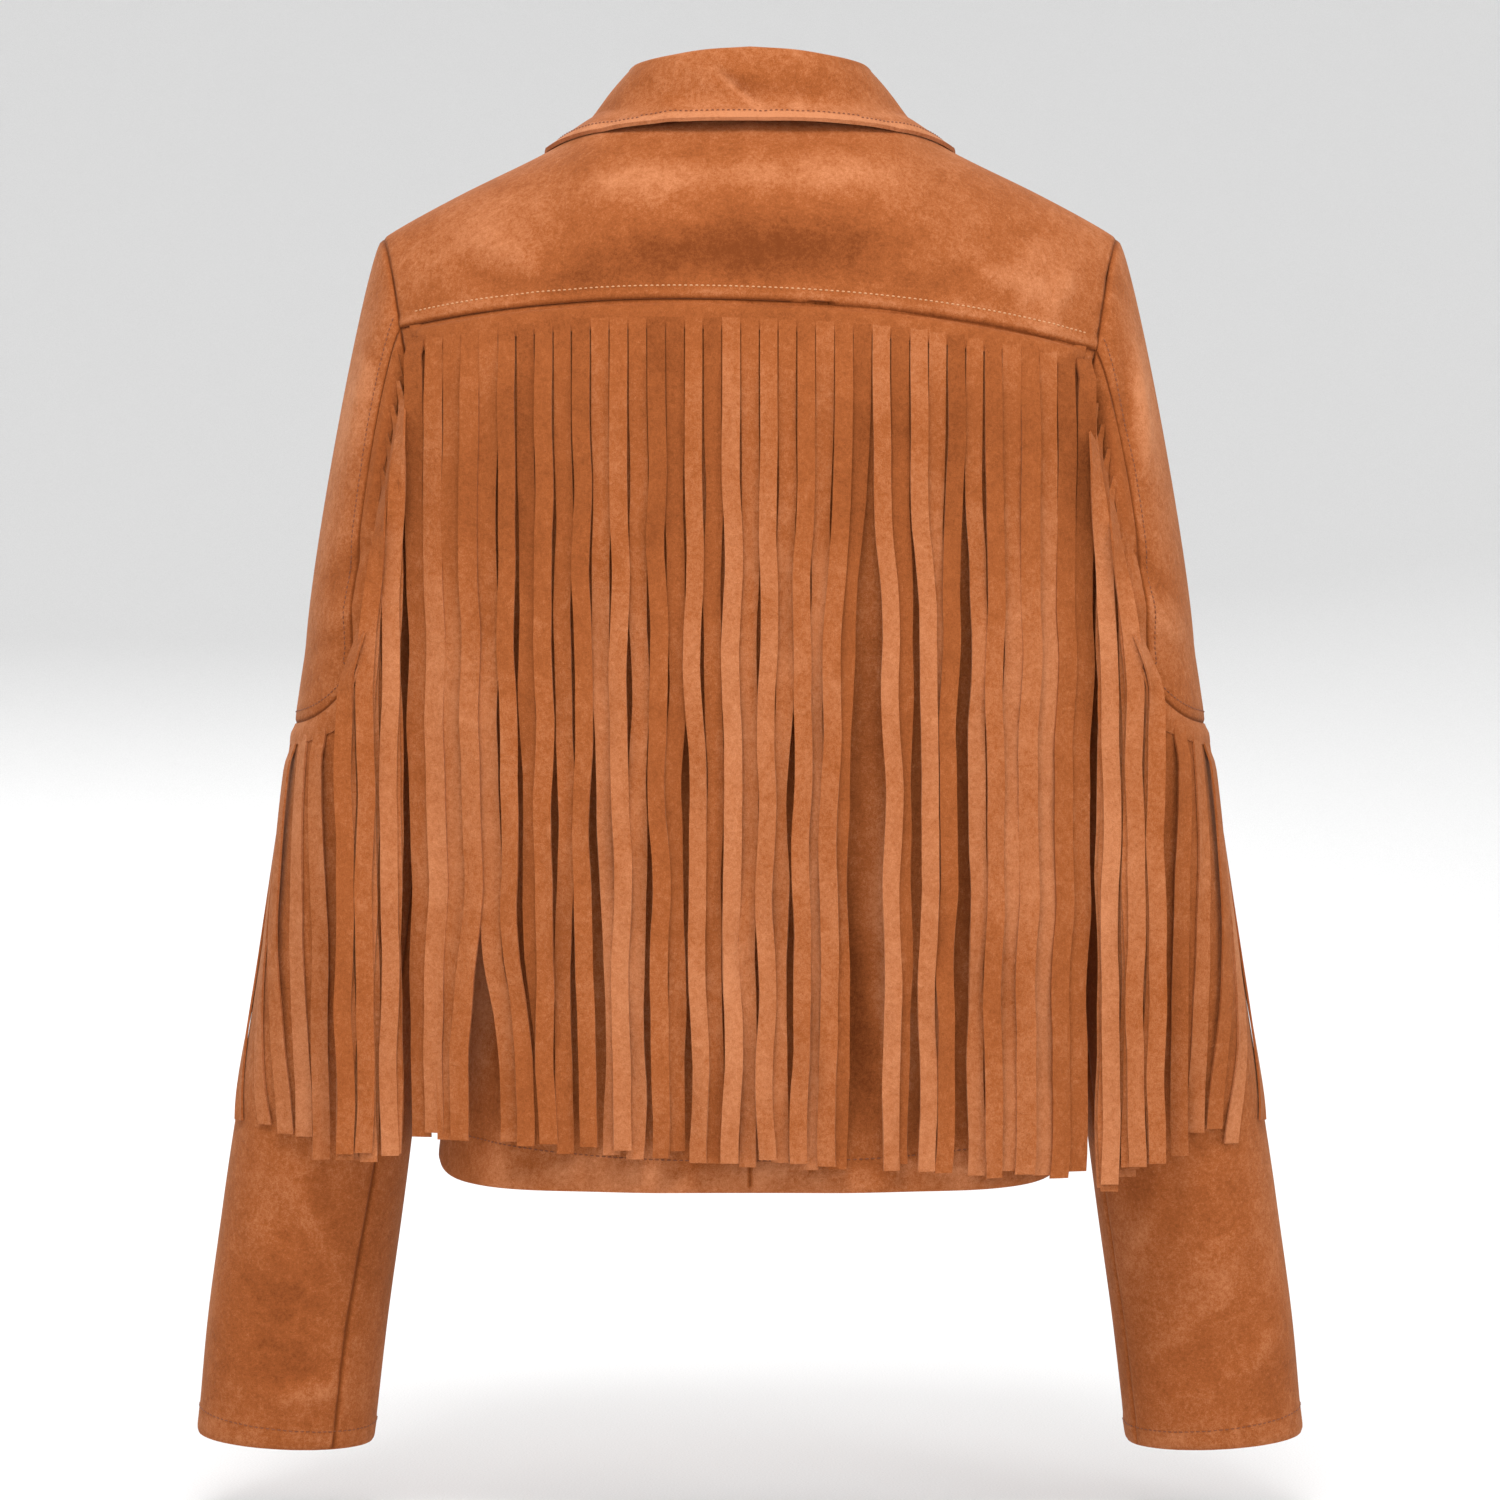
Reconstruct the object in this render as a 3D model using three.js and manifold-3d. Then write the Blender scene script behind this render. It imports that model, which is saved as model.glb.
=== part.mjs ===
// A cropped fringed faux suede jacket, filled out as if worn, in millimetres.
// The wearer faces -Y, the wearer's left is +X and up is +Z. The origin is the middle of the neck base,
// where the wearer's neck and shoulders hold the jacket up.
// Every panel is worked out on three surfaces: the torso, the sleeve and the collar. Neighbouring panels
// share the points of their seam, and each is then drawn back from it by half the seam gap.
import * as THREE from 'three';
import { mergeVertices } from 'three/addons/utils/BufferGeometryUtils.js';
import Module from 'manifold-3d';

const wasm = await Module();
wasm.setup();

// Driving dimensions.
const CLOTH = 1.4; // wall of one layer of cloth with its backing
const COLLAR_WALL = 2.2; // two layers sewn together
const SEAM_GAP = 0.3;
const MITRE_LIMIT = 0.6; // least cosine that a wall's edge leans by
const LEFT = 1;
const RIGHT = -1;
const BACK = 1;
const FRONT = -1;

// Torso sections by height: half width, and depth of back and front from the shoulder line.
const TORSO = [
  { z: 30, width: 215, back: 100, front: 57 },
  { z: -18, width: 214, back: 100, front: 61 },
  { z: -54, width: 212, back: 99, front: 70 },
  { z: -104, width: 204, back: 98, front: 88 },
  { z: -154, width: 187, back: 101, front: 106 },
  { z: -213, width: 167, back: 99, front: 117 },
  { z: -254, width: 155, back: 97, front: 118 },
  { z: -280, width: 148.5, back: 94, front: 115 },
  { z: -318, width: 146.5, back: 89, front: 110 },
  { z: -418, width: 150, back: 88, front: 103 },
  { z: -498, width: 157, back: 91, front: 103 },
  { z: -539, width: 162, back: 93, front: 105 },
];
const SECTION_POWER = 2.4; // 2 is an ellipse, more is squarer
const SHOULDER_Y = 5; // depth of the shoulder seam
const SHOULDER_ROUND = { [BACK]: 130, [FRONT]: 110 }; // height over which the shoulder turns over
// Height of the shoulder line, which runs on unseen to the middle of the neck.
const SHOULDER_LINE = [
  { x: 0, z: 23 },
  { x: 40, z: 20 },
  { x: 72, z: 10.5 },
  { x: 101.6, z: -7.4 },
  { x: 149.5, z: -31 },
  { x: 178.6, z: -46.5 },
  { x: 191, z: -54 },
  { x: 215, z: -70 },
];
const NECK = { halfWidth: 72, backZ: 2, frontZ: -68, pointZ: 10.5, backPower: 3, frontPower: 2.2 };
const FRONT_EDGE = { top: 10, hem: 16 }; // half the open front, at the neck and at the hem
const HEM = { z: -539, side: -527, power: 6.5 };
const YOKE = { z: -93.9, drop: -15.5, lean: 0.033, power: 2.2, reach: 179 }; // seam across the back
const CHEST_ROW_Z = -150; // where the front's rows start to run level

// Armhole, an oval in side view; its place in the round counts from the shoulder seam over the back.
const ARMHOLE = { z: -153.6, halfHeight: 100.3, back: 55.5, front: 55 };
const UNDERARM = 0.5;
const FRONT_SEAM = 0.7; // front seam of the sleeve, in turns round the armhole

// Sleeve sections by height: centre, half width across and half depth front to back.
const SLEEVE = [
  { z: -268, x: 193.6, y: 2, width: 36.2, depth: 60 },
  { z: -318, x: 198.4, y: 4, width: 38.6, depth: 57 },
  { z: -378, x: 205, y: 2, width: 41, depth: 54 },
  { z: -438, x: 212, y: -2, width: 43.2, depth: 51 },
  { z: -498, x: 220, y: -8, width: 45.2, depth: 48 },
  { z: -558, x: 228.8, y: -15, width: 46, depth: 45 },
  { z: -618, x: 237.4, y: -22, width: 46, depth: 42 },
  { z: -678, x: 244.2, y: -29, width: 45.6, depth: 39 },
];
// How the sleeve leaves the armhole at the shoulder, at its sides and under the arm.
const CAP_TOP = { out: 0.9, down: 0.35, start: 22, end: 150 };
const CAP_SIDE = { out: 0.62, down: 0.75, start: 60, end: 80 };
const CAP_UNDER = { out: 0.8, down: 0.6, start: 12, end: 14 };

// Seam that carries the sleeve's fringe: down the back of the arm, then round the elbow.
const FRINGE_SEAM = { elbowTurn: 0.218, cornerT: 1.045, elbowT: 1.097, power: 4 };
// Seam between outer and under sleeve, in turns, at the armhole and at the cuff.
const UNDER_SEAM = { [LEFT]: { top: 0.42, cuff: 0.352 }, [RIGHT]: { top: 0.46, cuff: 0.43 } };

// Soft folds of the back under its fringe: place, half width, height, and where they start and end.
const BACK_FOLDS = [
  { x: 118, halfWidth: 26, height: 5, top: -330, end: -560 },
  { x: 52, halfWidth: 22, height: 3, top: -380, end: -560 },
  { x: -68, halfWidth: 24, height: 5, top: -300, end: -560 },
  { x: -128, halfWidth: 20, height: 4, top: -350, end: -560 },
];
// Folds of the sleeves, in turns round and shares of the length from the biceps to the cuff.
const SLEEVE_FOLDS = [
  { turn: 0.12, t: 1.86, length: 0.08, halfWidth: 0.07, height: 2 },
  { turn: 0.28, t: 1.82, length: 0.1, halfWidth: 0.08, height: -2.4 },
];

// How finely the seams are divided.
const STEPS = { neck: 4, shoulder: 6, yokeRows: 4, strip: 4, under: 2, chest: 3, side: 8 };
const SLEEVE_STEPS = { cap: 5, elbow: 7, forearm: 9 };
const ROW_STEPS = STEPS.neck + STEPS.shoulder;

// Collar, from the middle of the back to the open front: fold line and free edge.
const COLLAR = [
  { fold: [0, 55, 38.1], edge: [0, 73, 0.5] },
  { fold: [22, 52.5, 37], edge: [27, 71.5, 0.5] },
  { fold: [38, 44, 35.6], edge: [49, 66, -0.2] },
  { fold: [50, 30, 35], edge: [70, 54, -1.3] },
  { fold: [56, 16, 34.6], edge: [89, 34, -4.3] },
  { fold: [57.5, 1, 33], edge: [104, 8, -7.5] },
  { fold: [54, -25, 19], edge: [98, -34, -34] },
  { fold: [38, -46, -10], edge: [84, -64, -80] },
  { fold: [13, -58, -45], edge: [58, -86, -122] },
];
const COLLAR_STOPS = [0, 0.16, 0.3, 0.42, 0.52, 0.59, 0.635, 0.68, 0.73, 0.85, 1];
const COLLAR_FOLD_RADIUS = 2.6;
const COLLAR_LIFT = 1.1; // off the neck edge of the body, up and in
const COLLAR_CLEARANCE = 4.2; // from the middle of its wall to the middle of the body's

// Fringes: a narrow header sewn on beside its seam, cut below into strands.
const STRAND = { width: 9.2, thickness: 1.2 };
const HEADER = { thickness: 1.4, gap: 1.2, lift: 2.1 }; // gap beside the seam, lift between wall middles
const BACK_FRINGE = {
  pitch: 9.3,
  strands: 37,
  header: 14,
  armholeGap: 5.5,
  layer: 2.8, // every other strand hangs this much further out
  spread: 2.2, // and this much more at its end
  beside: 5.8, // how far the outermost ones stand off the sleeve
  drawn: 0.035, // how much the ends draw together
  end: -522,
  endLean: 0.06,
};
// Where the hanging strands of the back part and show the cloth, from a height down to a fully open one.
const FRINGE_GAPS = [
  { x: 160, top: -280, open: -350, width: 3 },
  { x: 146, top: -170, open: -290, width: 5 },
  { x: 126, top: -400, open: -480, width: 20 },
  { x: 87, top: -390, open: -450, width: 7 },
  { x: 75, top: -320, open: -400, width: 7 },
  { x: 54, top: -320, open: -400, width: 4 },
  { x: 33, top: -280, open: -340, width: 5 },
  { x: -20, top: -270, open: -330, width: 5 },
  { x: -56, top: -130, open: -330, width: 19 },
  { x: -82, top: -200, open: -290, width: 7 },
  { x: -107, top: -150, open: -280, width: 8.5 },
  { x: -150, top: -270, open: -330, width: 6 },
];
const GAP_REACH = { base: 8, slope: 1.6 }; // how far beside a gap the strands are pushed together
const SLEEVE_FRINGE = {
  header: 10,
  vertical: 11,
  elbow: 12,
  perColumn: 4,
  column: 10.6,
  columnX: 200.3,
  levelShift: 1.2,
  layer: 2.5,
  standOff: 76.5,
  outward: 0.105,
  aside: 0.042,
  outerElbow: [3, 6],
  armEnd: { [LEFT]: [-523, -523, -519], [RIGHT]: [-526, -530, -538] },
  elbowEnd: -522,
  frontEnd: -504,
};
const STRAND_SECTIONS = [0, 0.035, 0.12, 0.3, 0.5, 0.72, 1];

// Reads a short table as a smooth curve that never overshoots (monotone cubic).
function curve(table, key, column) {
  const rows = [...table].sort((a, b) => a[key] - b[key]);
  const xs = rows.map((r) => r[key]);
  const ys = rows.map((r) => r[column]);
  const slopes = xs.slice(1).map((x, i) => (ys[i + 1] - ys[i]) / (x - xs[i]));
  const tangents = xs.map((_, i) => {
    if (i === 0) return slopes[0];
    if (i === xs.length - 1) return slopes[i - 1];
    const [a, b] = [slopes[i - 1], slopes[i]];
    return a * b <= 0 ? 0 : (2 * a * b) / (a + b);
  });
  return (x) => {
    const at = Math.min(Math.max(x, xs[0]), xs.at(-1));
    let i = xs.findIndex((v, k) => k > 0 && at <= v) - 1;
    i = Math.max(i, 0);
    const step = xs[i + 1] - xs[i];
    const s = (at - xs[i]) / step;
    const [s2, s3] = [s * s, s * s * s];
    return (
      ys[i] * (2 * s3 - 3 * s2 + 1) +
      ys[i + 1] * (3 * s2 - 2 * s3) +
      step * (tangents[i] * (s3 - 2 * s2 + s) + tangents[i + 1] * (s3 - s2))
    );
  };
}

const lerp = THREE.MathUtils.lerp;
const smoothstep = THREE.MathUtils.smoothstep;
const steps = (n) => Array.from({ length: n + 1 }, (_, i) => i / n);
const between = (a, b, n) => steps(n).map((s) => lerp(a, b, s));
const vec = (x, y, z) => new THREE.Vector3(x, y, z);

// The points of a line at n + 1 even distances along it.
function resample(points, n) {
  const at = [0];
  points.slice(1).forEach((p, i) => at.push(at[i] + p.distanceTo(points[i])));
  return steps(n).map((s) => {
    const want = s * at.at(-1);
    const i = Math.max(1, at.findIndex((d) => d >= want - 1e-9));
    return points[i - 1].clone().lerp(points[i], (want - at[i - 1]) / (at[i] - at[i - 1]));
  });
}

// Torso surface.
const halfWidth = curve(TORSO, 'z', 'width');
const depth = { [BACK]: curve(TORSO, 'z', 'back'), [FRONT]: curve(TORSO, 'z', 'front') };
const shoulderZ = curve(SHOULDER_LINE, 'x', 'z');

function shoulderRounding(face, x, z) {
  const s = THREE.MathUtils.clamp((shoulderZ(x) - z) / SHOULDER_ROUND[face], 0, 1);
  return Math.sqrt(1 - (1 - s) ** 2);
}

function backFold(x, z) {
  return BACK_FOLDS.reduce((sum, f) => {
    const across = Math.exp(-(((x - f.x) / f.halfWidth) ** 2));
    return sum + f.height * across * smoothstep(-z, -f.top, -f.end);
  }, 0);
}

// Depth of the back or front at a place across and a height.
function torsoY(face, x, z) {
  const share = Math.min(Math.abs(x) / halfWidth(z), 1);
  const across = (1 - share ** SECTION_POWER) ** (1 / SECTION_POWER);
  const fold = face === BACK ? backFold(x, z) * across : 0;
  return SHOULDER_Y + face * (depth[face](z) * across * shoulderRounding(face, Math.abs(x), z) + fold);
}

// How far a point is outside the torso, along its surface's slope, with that direction.
function torsoDistance(p) {
  const g = (q) => {
    const face = q.y > SHOULDER_Y ? BACK : FRONT;
    const share = Math.min(Math.abs(q.x) / halfWidth(q.z), 0.98);
    const reach = depth[face](q.z) * (1 - share ** SECTION_POWER) ** (1 / SECTION_POWER);
    const over = Math.max(0, 1 - (shoulderZ(Math.abs(q.x)) - q.z) / SHOULDER_ROUND[face]);
    return Math.hypot((q.y - SHOULDER_Y) / reach, over) - 1;
  };
  const e = 0.5;
  const value = g(p);
  const slope = vec(
    g(vec(p.x + e, p.y, p.z)) - g(vec(p.x - e, p.y, p.z)),
    g(vec(p.x, p.y + e, p.z)) - g(vec(p.x, p.y - e, p.z)),
    g(vec(p.x, p.y, p.z + e)) - g(vec(p.x, p.y, p.z - e)),
  ).divideScalar(2 * e);
  return { distance: value / slope.length(), direction: slope.normalize() };
}

function pushedOff(p, clearance) {
  const q = p.clone();
  for (let i = 0; i < 4; i++) {
    const { distance, direction } = torsoDistance(q);
    if (distance < clearance) q.addScaledVector(direction, clearance - distance);
  }
  return q;
}

// A point of the armhole, in turns from the shoulder seam over the back, on the wearer's left.
function armhole(turn) {
  const face = turn <= UNDERARM && turn >= 0 ? BACK : FRONT;
  const angle = turn * 2 * Math.PI;
  const reach = Math.abs(Math.sin(angle)) * (face === BACK ? ARMHOLE.back : ARMHOLE.front);
  const z = ARMHOLE.z + ARMHOLE.halfHeight * Math.cos(angle);
  let [low, high] = [0, halfWidth(z)];
  for (let i = 0; i < 50; i++) {
    const x = (low + high) / 2;
    const y = depth[face](z) * (1 - (x / halfWidth(z)) ** SECTION_POWER) ** (1 / SECTION_POWER);
    if (y * shoulderRounding(face, x, z) > reach) low = x;
    else high = x;
  }
  return vec(low, SHOULDER_Y + face * reach, z);
}

// The armhole's stops, shared by the body's rows and the sleeve's columns.
function armholeTurn(z) {
  return Math.acos((z - ARMHOLE.z) / ARMHOLE.halfHeight) / (2 * Math.PI);
}

const yokeZ = (x) => YOKE.z + YOKE.lean * x + YOKE.drop * (Math.abs(x) / YOKE.reach) ** YOKE.power;

function stopsOf(hand) {
  const yoke = armholeTurn(yokeZ(hand * YOKE.reach));
  const under = UNDER_SEAM[hand].top;
  return {
    yokeTurn: yoke,
    yoke: between(0, yoke, STEPS.yokeRows),
    strip: between(yoke, under, STEPS.strip),
    underBack: between(under, UNDERARM, STEPS.under),
    underFront: between(UNDERARM, FRONT_SEAM, STEPS.chest),
    cap: between(FRONT_SEAM - 1, 0, SLEEVE_STEPS.cap),
  };
}

// A level row of the torso from x = start to its right end, over one face.
function torsoRow(face, start, end, leftZ, power) {
  const points = steps(60).map((s) => {
    const z = lerp(leftZ, end.z, s ** power);
    const turn = (x) => Math.asin(Math.min(1, x / halfWidth(z)) ** (SECTION_POWER / 2));
    const angle = lerp(turn(start), turn(end.x), s);
    const x = halfWidth(z) * Math.sin(angle) ** (2 / SECTION_POWER);
    return vec(x, torsoY(face, x, z), z);
  });
  points[60] = end.clone();
  return resample(points, ROW_STEPS);
}

function neckZ(face, x) {
  const share = x / NECK.halfWidth;
  if (face === BACK) return lerp(NECK.backZ, NECK.pointZ, share ** NECK.backPower);
  return lerp(NECK.frontZ, NECK.pointZ, share ** NECK.frontPower);
}

const neckAt = (face, x) => vec(x, torsoY(face, x, Math.min(neckZ(face, x), shoulderZ(x))), neckZ(face, x));

// Half of the neck edge from the middle, evenly spaced, then the shoulder seam.
function topRow(face) {
  const start = face === BACK ? 0 : FRONT_EDGE.top;
  const neck = steps(80).map((s) => neckAt(face, lerp(start, NECK.halfWidth, Math.sin((s * Math.PI) / 2))));
  const tip = armhole(0);
  const shoulder = between(NECK.halfWidth, tip.x, STEPS.shoulder).map((x) => vec(x, SHOULDER_Y, shoulderZ(x)));
  return [...resample(neck, STEPS.neck).slice(0, -1), ...shoulder.slice(0, -1), tip];
}

// From the neck and shoulder down to a row, with the last column on the armhole.
function upperBlock(face, base, turns) {
  const top = topRow(face);
  const last = base.length - 1;
  return turns.map((turn, i) => {
    const s = i / (turns.length - 1);
    const rim = armhole(turn);
    return top.map((p, j) => {
      if (i === 0) return p.clone();
      if (i === turns.length - 1) return base[j].clone();
      if (j === last) return rim;
      const pull = (j / last) ** 3;
      const x = lerp(p.x, base[j].x, s * s) + pull * (rim.x - lerp(top[last].x, base[last].x, s * s));
      const z = lerp(p.z, base[j].z, s * s) + pull * (rim.z - lerp(top[last].z, base[last].z, s * s));
      return vec(x, torsoY(face, x, z), z);
    });
  });
}

// From a row down to the hem: first along the armhole, then along the side seam.
function lowerBlock(face, base, turns) {
  const sideZ = between(armhole(UNDERARM).z, HEM.side, STEPS.side).slice(1);
  const ends = [...turns.slice(1).map(armhole), ...sideZ.map((z) => vec(halfWidth(z), SHOULDER_Y, z))];
  const first = base.at(-1).z;
  const rows = ends.map((end) => {
    const s = (end.z - first) / (HEM.side - first);
    const leftZ = lerp(base[0].z, HEM.z, s);
    const start = face === BACK ? 0 : lerp(FRONT_EDGE.top, FRONT_EDGE.hem, s);
    return torsoRow(face, start, end, leftZ, lerp(2, HEM.power, s));
  });
  return [base, ...rows];
}

function torsoBlocks(hand) {
  const stops = stopsOf(hand);
  const yokeEnd = armhole(stops.yokeTurn);
  const yokeRow = resample(
    between(0, yokeEnd.x, 60).map((x) => {
      const z = yokeZ(hand * x) + (yokeEnd.z - yokeZ(hand * yokeEnd.x)) * (x / yokeEnd.x) ** 2;
      return vec(x, torsoY(BACK, x, z), z);
    }),
    ROW_STEPS,
  );
  const chestRow = torsoRow(FRONT, FRONT_EDGE.top, armhole(FRONT_SEAM), CHEST_ROW_Z, 2);
  const capTurns = [...stops.cap].reverse().map((t) => (t < 0 ? t + 1 : t));
  return {
    yoke: upperBlock(BACK, yokeRow, stops.yoke),
    back: lowerBlock(BACK, yokeRow, [...stops.strip, ...stops.underBack.slice(1)]),
    frontTop: upperBlock(FRONT, chestRow, capTurns),
    front: lowerBlock(FRONT, chestRow, [...stops.underFront].reverse()),
  };
}

// Sleeve surface, on the wearer's left: turn goes round it, t from 0 at the armhole over 1 at the
// biceps to 2 at the cuff.
const sleeveCurve = Object.fromEntries(['x', 'y', 'width', 'depth'].map((c) => [c, curve(SLEEVE, 'z', c)]));

function sleeveFold(turn, t) {
  return SLEEVE_FOLDS.reduce((sum, f) => {
    const round = ((((turn - f.turn) % 1) + 1.5) % 1) - 0.5;
    return sum + f.height * Math.exp(-((round / f.halfWidth) ** 2) - ((t - f.t) / f.length) ** 2);
  }, 0);
}

function sleeveFrame(s) {
  const z = lerp(SLEEVE[0].z, SLEEVE.at(-1).z, s);
  const centre = (at) => vec(sleeveCurve.x(at), sleeveCurve.y(at), at);
  const along = centre(z - 15).sub(centre(z + 15)).normalize();
  const across = vec(1, 0, 0).addScaledVector(along, -along.x).normalize();
  const back = across.clone().cross(along).normalize();
  return { centre: centre(z), along, across, back, z };
}

function sleeveRing(turn, s) {
  const f = sleeveFrame(s);
  const angle = turn * 2 * Math.PI;
  const swell = sleeveFold(turn, 1 + s);
  return f.centre
    .clone()
    .addScaledVector(f.across, (sleeveCurve.width(f.z) + swell) * Math.cos(angle))
    .addScaledVector(f.back, (sleeveCurve.depth(f.z) + swell) * Math.sin(angle));
}

function mixedCap(turn, column) {
  const c = Math.cos(turn * 2 * Math.PI);
  const end = c > 0 ? CAP_TOP : CAP_UNDER;
  return lerp(CAP_SIDE[column], end[column], Math.abs(c) ** 1.5);
}

function sleevePoint(turn, t) {
  if (t >= 1) return sleeveRing(turn, t - 1);
  const from = armhole(((turn % 1) + 1) % 1);
  const to = sleeveRing(turn, 0);
  const side = Math.sin(turn * 2 * Math.PI) * 0.2;
  const leaving = vec(mixedCap(turn, 'out'), side, -mixedCap(turn, 'down')).normalize();
  const arriving = sleeveFrame(0).along.clone().multiplyScalar(mixedCap(turn, 'end'));
  leaving.multiplyScalar(mixedCap(turn, 'start'));
  const [t2, t3] = [t * t, t * t * t];
  return from
    .multiplyScalar(2 * t3 - 3 * t2 + 1)
    .addScaledVector(to, 3 * t2 - 2 * t3)
    .addScaledVector(leaving, t3 - 2 * t2 + t)
    .addScaledVector(arriving, t3 - t2);
}

// The fringe seam: how low it lies at a turn, and its turn at a height on the back of the arm.
function fringeSeamT(turn) {
  const share = Math.max(0, turn) / FRINGE_SEAM.elbowTurn;
  return FRINGE_SEAM.elbowT - (FRINGE_SEAM.elbowT - FRINGE_SEAM.cornerT) * share ** FRINGE_SEAM.power;
}

function fringeSeamTurn(hand, t) {
  return lerp(stopsOf(hand).yokeTurn, FRINGE_SEAM.elbowTurn, Math.min(1, t / FRINGE_SEAM.cornerT));
}

function underSeamTurn(hand, t) {
  return lerp(UNDER_SEAM[hand].top, UNDER_SEAM[hand].cuff, smoothstep(t, 0.8, 2));
}

function sleeveBlocks(hand) {
  const stops = stopsOf(hand);
  const front = FRONT_SEAM - 1;
  const capStops = [...stops.cap, ...stops.yoke.slice(1)];
  const elbow = steps(SLEEVE_STEPS.elbow);
  const forearm = steps(SLEEVE_STEPS.forearm).slice(1);
  const reach = (stop, to) => lerp(front, to, (stop - front) / (stops.yokeTurn - front));
  const { cornerT } = FRINGE_SEAM;

  const cap = elbow.map((s) =>
    capStops.map((stop) => {
      const low = fringeSeamT(reach(stop, FRINGE_SEAM.elbowTurn));
      const turn = reach(stop, fringeSeamTurn(hand, s * cornerT));
      return sleevePoint(turn, s * low);
    }),
  );
  const lower = [0, ...forearm].map((s) =>
    capStops.map((stop) => {
      const turn = reach(stop, FRINGE_SEAM.elbowTurn);
      return sleevePoint(turn, lerp(fringeSeamT(turn), 2, s));
    }),
  );
  const heights = (corner) => [...elbow.map((s) => s * corner), ...forearm.map((s) => lerp(corner, 2, s))];
  const share = (list, stop) => (stop - list[0]) / (list.at(-1) - list[0]);
  const strip = heights(cornerT).map((t) =>
    stops.strip.map((stop) =>
      sleevePoint(lerp(fringeSeamTurn(hand, t), underSeamTurn(hand, t), share(stops.strip, stop)), t),
    ),
  );
  const underStops = [...stops.underBack, ...stops.underFront.slice(1)];
  const under = strip.map((_, i) =>
    underStops.map((stop) => {
      const u = share(underStops, stop);
      const t = lerp(heights(cornerT)[i], heights(FRINGE_SEAM.elbowT)[i], u);
      return sleevePoint(lerp(underSeamTurn(hand, t), FRONT_SEAM, u), t);
    }),
  );
  return { cap, lower, strip, under };
}

// Cloth panels. A panel is one or more blocks of points; blocks that touch share their points.
const key = (p) => [p.x, p.y, p.z].map((v) => Math.round(v * 1e3)).join();

// Turns a face over and keeps its diagonal.
const flipped = ([a, b, c, d]) => [a, d, c, b];

function mirrored(block) {
  return block.map((row) => row.map((p) => vec(-p.x, p.y, p.z)));
}

// Faces of a panel, turned so that they look away from its own middle line.
function facesOf(blocks, middle) {
  const points = new Map();
  const quads = [];
  const index = (p) => {
    if (!points.has(key(p))) points.set(key(p), { p, i: points.size });
    return points.get(key(p)).i;
  };
  for (const block of blocks) {
    const [a, b, c] = [block[0][1], block[0][2], block[1][1]];
    const facing = b.clone().sub(a).cross(c.clone().sub(a)).dot(a.clone().sub(middle(a)));
    block.slice(1).forEach((row, i) =>
      row.slice(1).forEach((p, j) => {
        const quad = [block[i][j], block[i][j + 1], p, row[j]].map(index);
        quads.push(facing > 0 ? quad : flipped(quad));
      }),
    );
  }
  return { points: [...points.values()].map((v) => v.p), quads };
}

// Adds each face's normal at its corners, so that panels that meet lean alike at their seam.
function addNormals({ points, quads }, normals) {
  for (const q of quads) {
    const [a, b, c, d] = q.map((i) => points[i]);
    const normal = c.clone().sub(a).cross(d.clone().sub(b)).normalize();
    for (const i of q) {
      const k = key(points[i]);
      if (!normals.has(k)) normals.set(k, vec(0, 0, 0));
      normals.get(k).add(normal);
    }
  }
  return normals;
}

// Edges that only one face uses, in that face's order.
function rimOf(quads) {
  const edges = new Map();
  for (const q of quads)
    q.forEach((a, i) => {
      const b = q[(i + 1) % q.length];
      const back = `${b},${a}`;
      if (edges.has(back)) edges.delete(back);
      else edges.set(`${a},${b}`, [a, b]);
    });
  return [...edges.values()];
}

function solidGeometry(positions, faces) {
  const index = faces.flatMap((f) => f.slice(2).flatMap((v, i) => [f[0], f[i + 1], v]));
  return new THREE.BufferGeometry()
    .setAttribute('position', new THREE.Float32BufferAttribute(positions.flatMap((p) => [p.x, p.y, p.z]), 3))
    .setIndex(index);
}

// A wall of even thickness round a panel's points, drawn back at its seams by half the gap.
function wall(panel, shared, thickness, inset = SEAM_GAP / 2) {
  const { points, quads } = panel;
  const rim = rimOf(quads);
  const own = addNormals(panel, new Map());
  const normals = points.map((p) => {
    const n = shared.get(key(p)).clone().normalize();
    return n.divideScalar(Math.max(MITRE_LIMIT, n.dot(own.get(key(p)).clone().normalize())));
  });
  const inward = points.map(() => vec(0, 0, 0));
  for (const [a, b] of rim) {
    const side = normals[a].clone().cross(points[b].clone().sub(points[a])).normalize();
    inward[a].add(side);
    inward[b].add(side);
  }
  const middle = points.map((p, i) => p.clone().addScaledVector(inward[i].normalize(), inset));
  const outer = middle.map((p, i) => p.clone().addScaledVector(normals[i], thickness / 2));
  const inner = middle.map((p, i) => p.clone().addScaledVector(normals[i], -thickness / 2));
  const n = points.length;
  return solidGeometry(
    [...outer, ...inner],
    [
      ...quads,
      ...quads.map((q) => flipped(q.map((i) => i + n))),
      ...rim.map(([a, b]) => (key(points[a]) < key(points[b]) ? [b, a, a + n, b + n] : [a, a + n, b + n, b])),
    ],
  );
}

const torsoMiddle = (p) => vec(0, SHOULDER_Y, p.z - 60);
const sleeveMiddle = (hand) => (p) => {
  const z = THREE.MathUtils.clamp(p.z, SLEEVE.at(-1).z, SLEEVE[0].z);
  return vec(hand * (sleeveCurve.x(z) - (p.z > z ? 25 : 0)), sleeveCurve.y(z), p.z);
};

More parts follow.
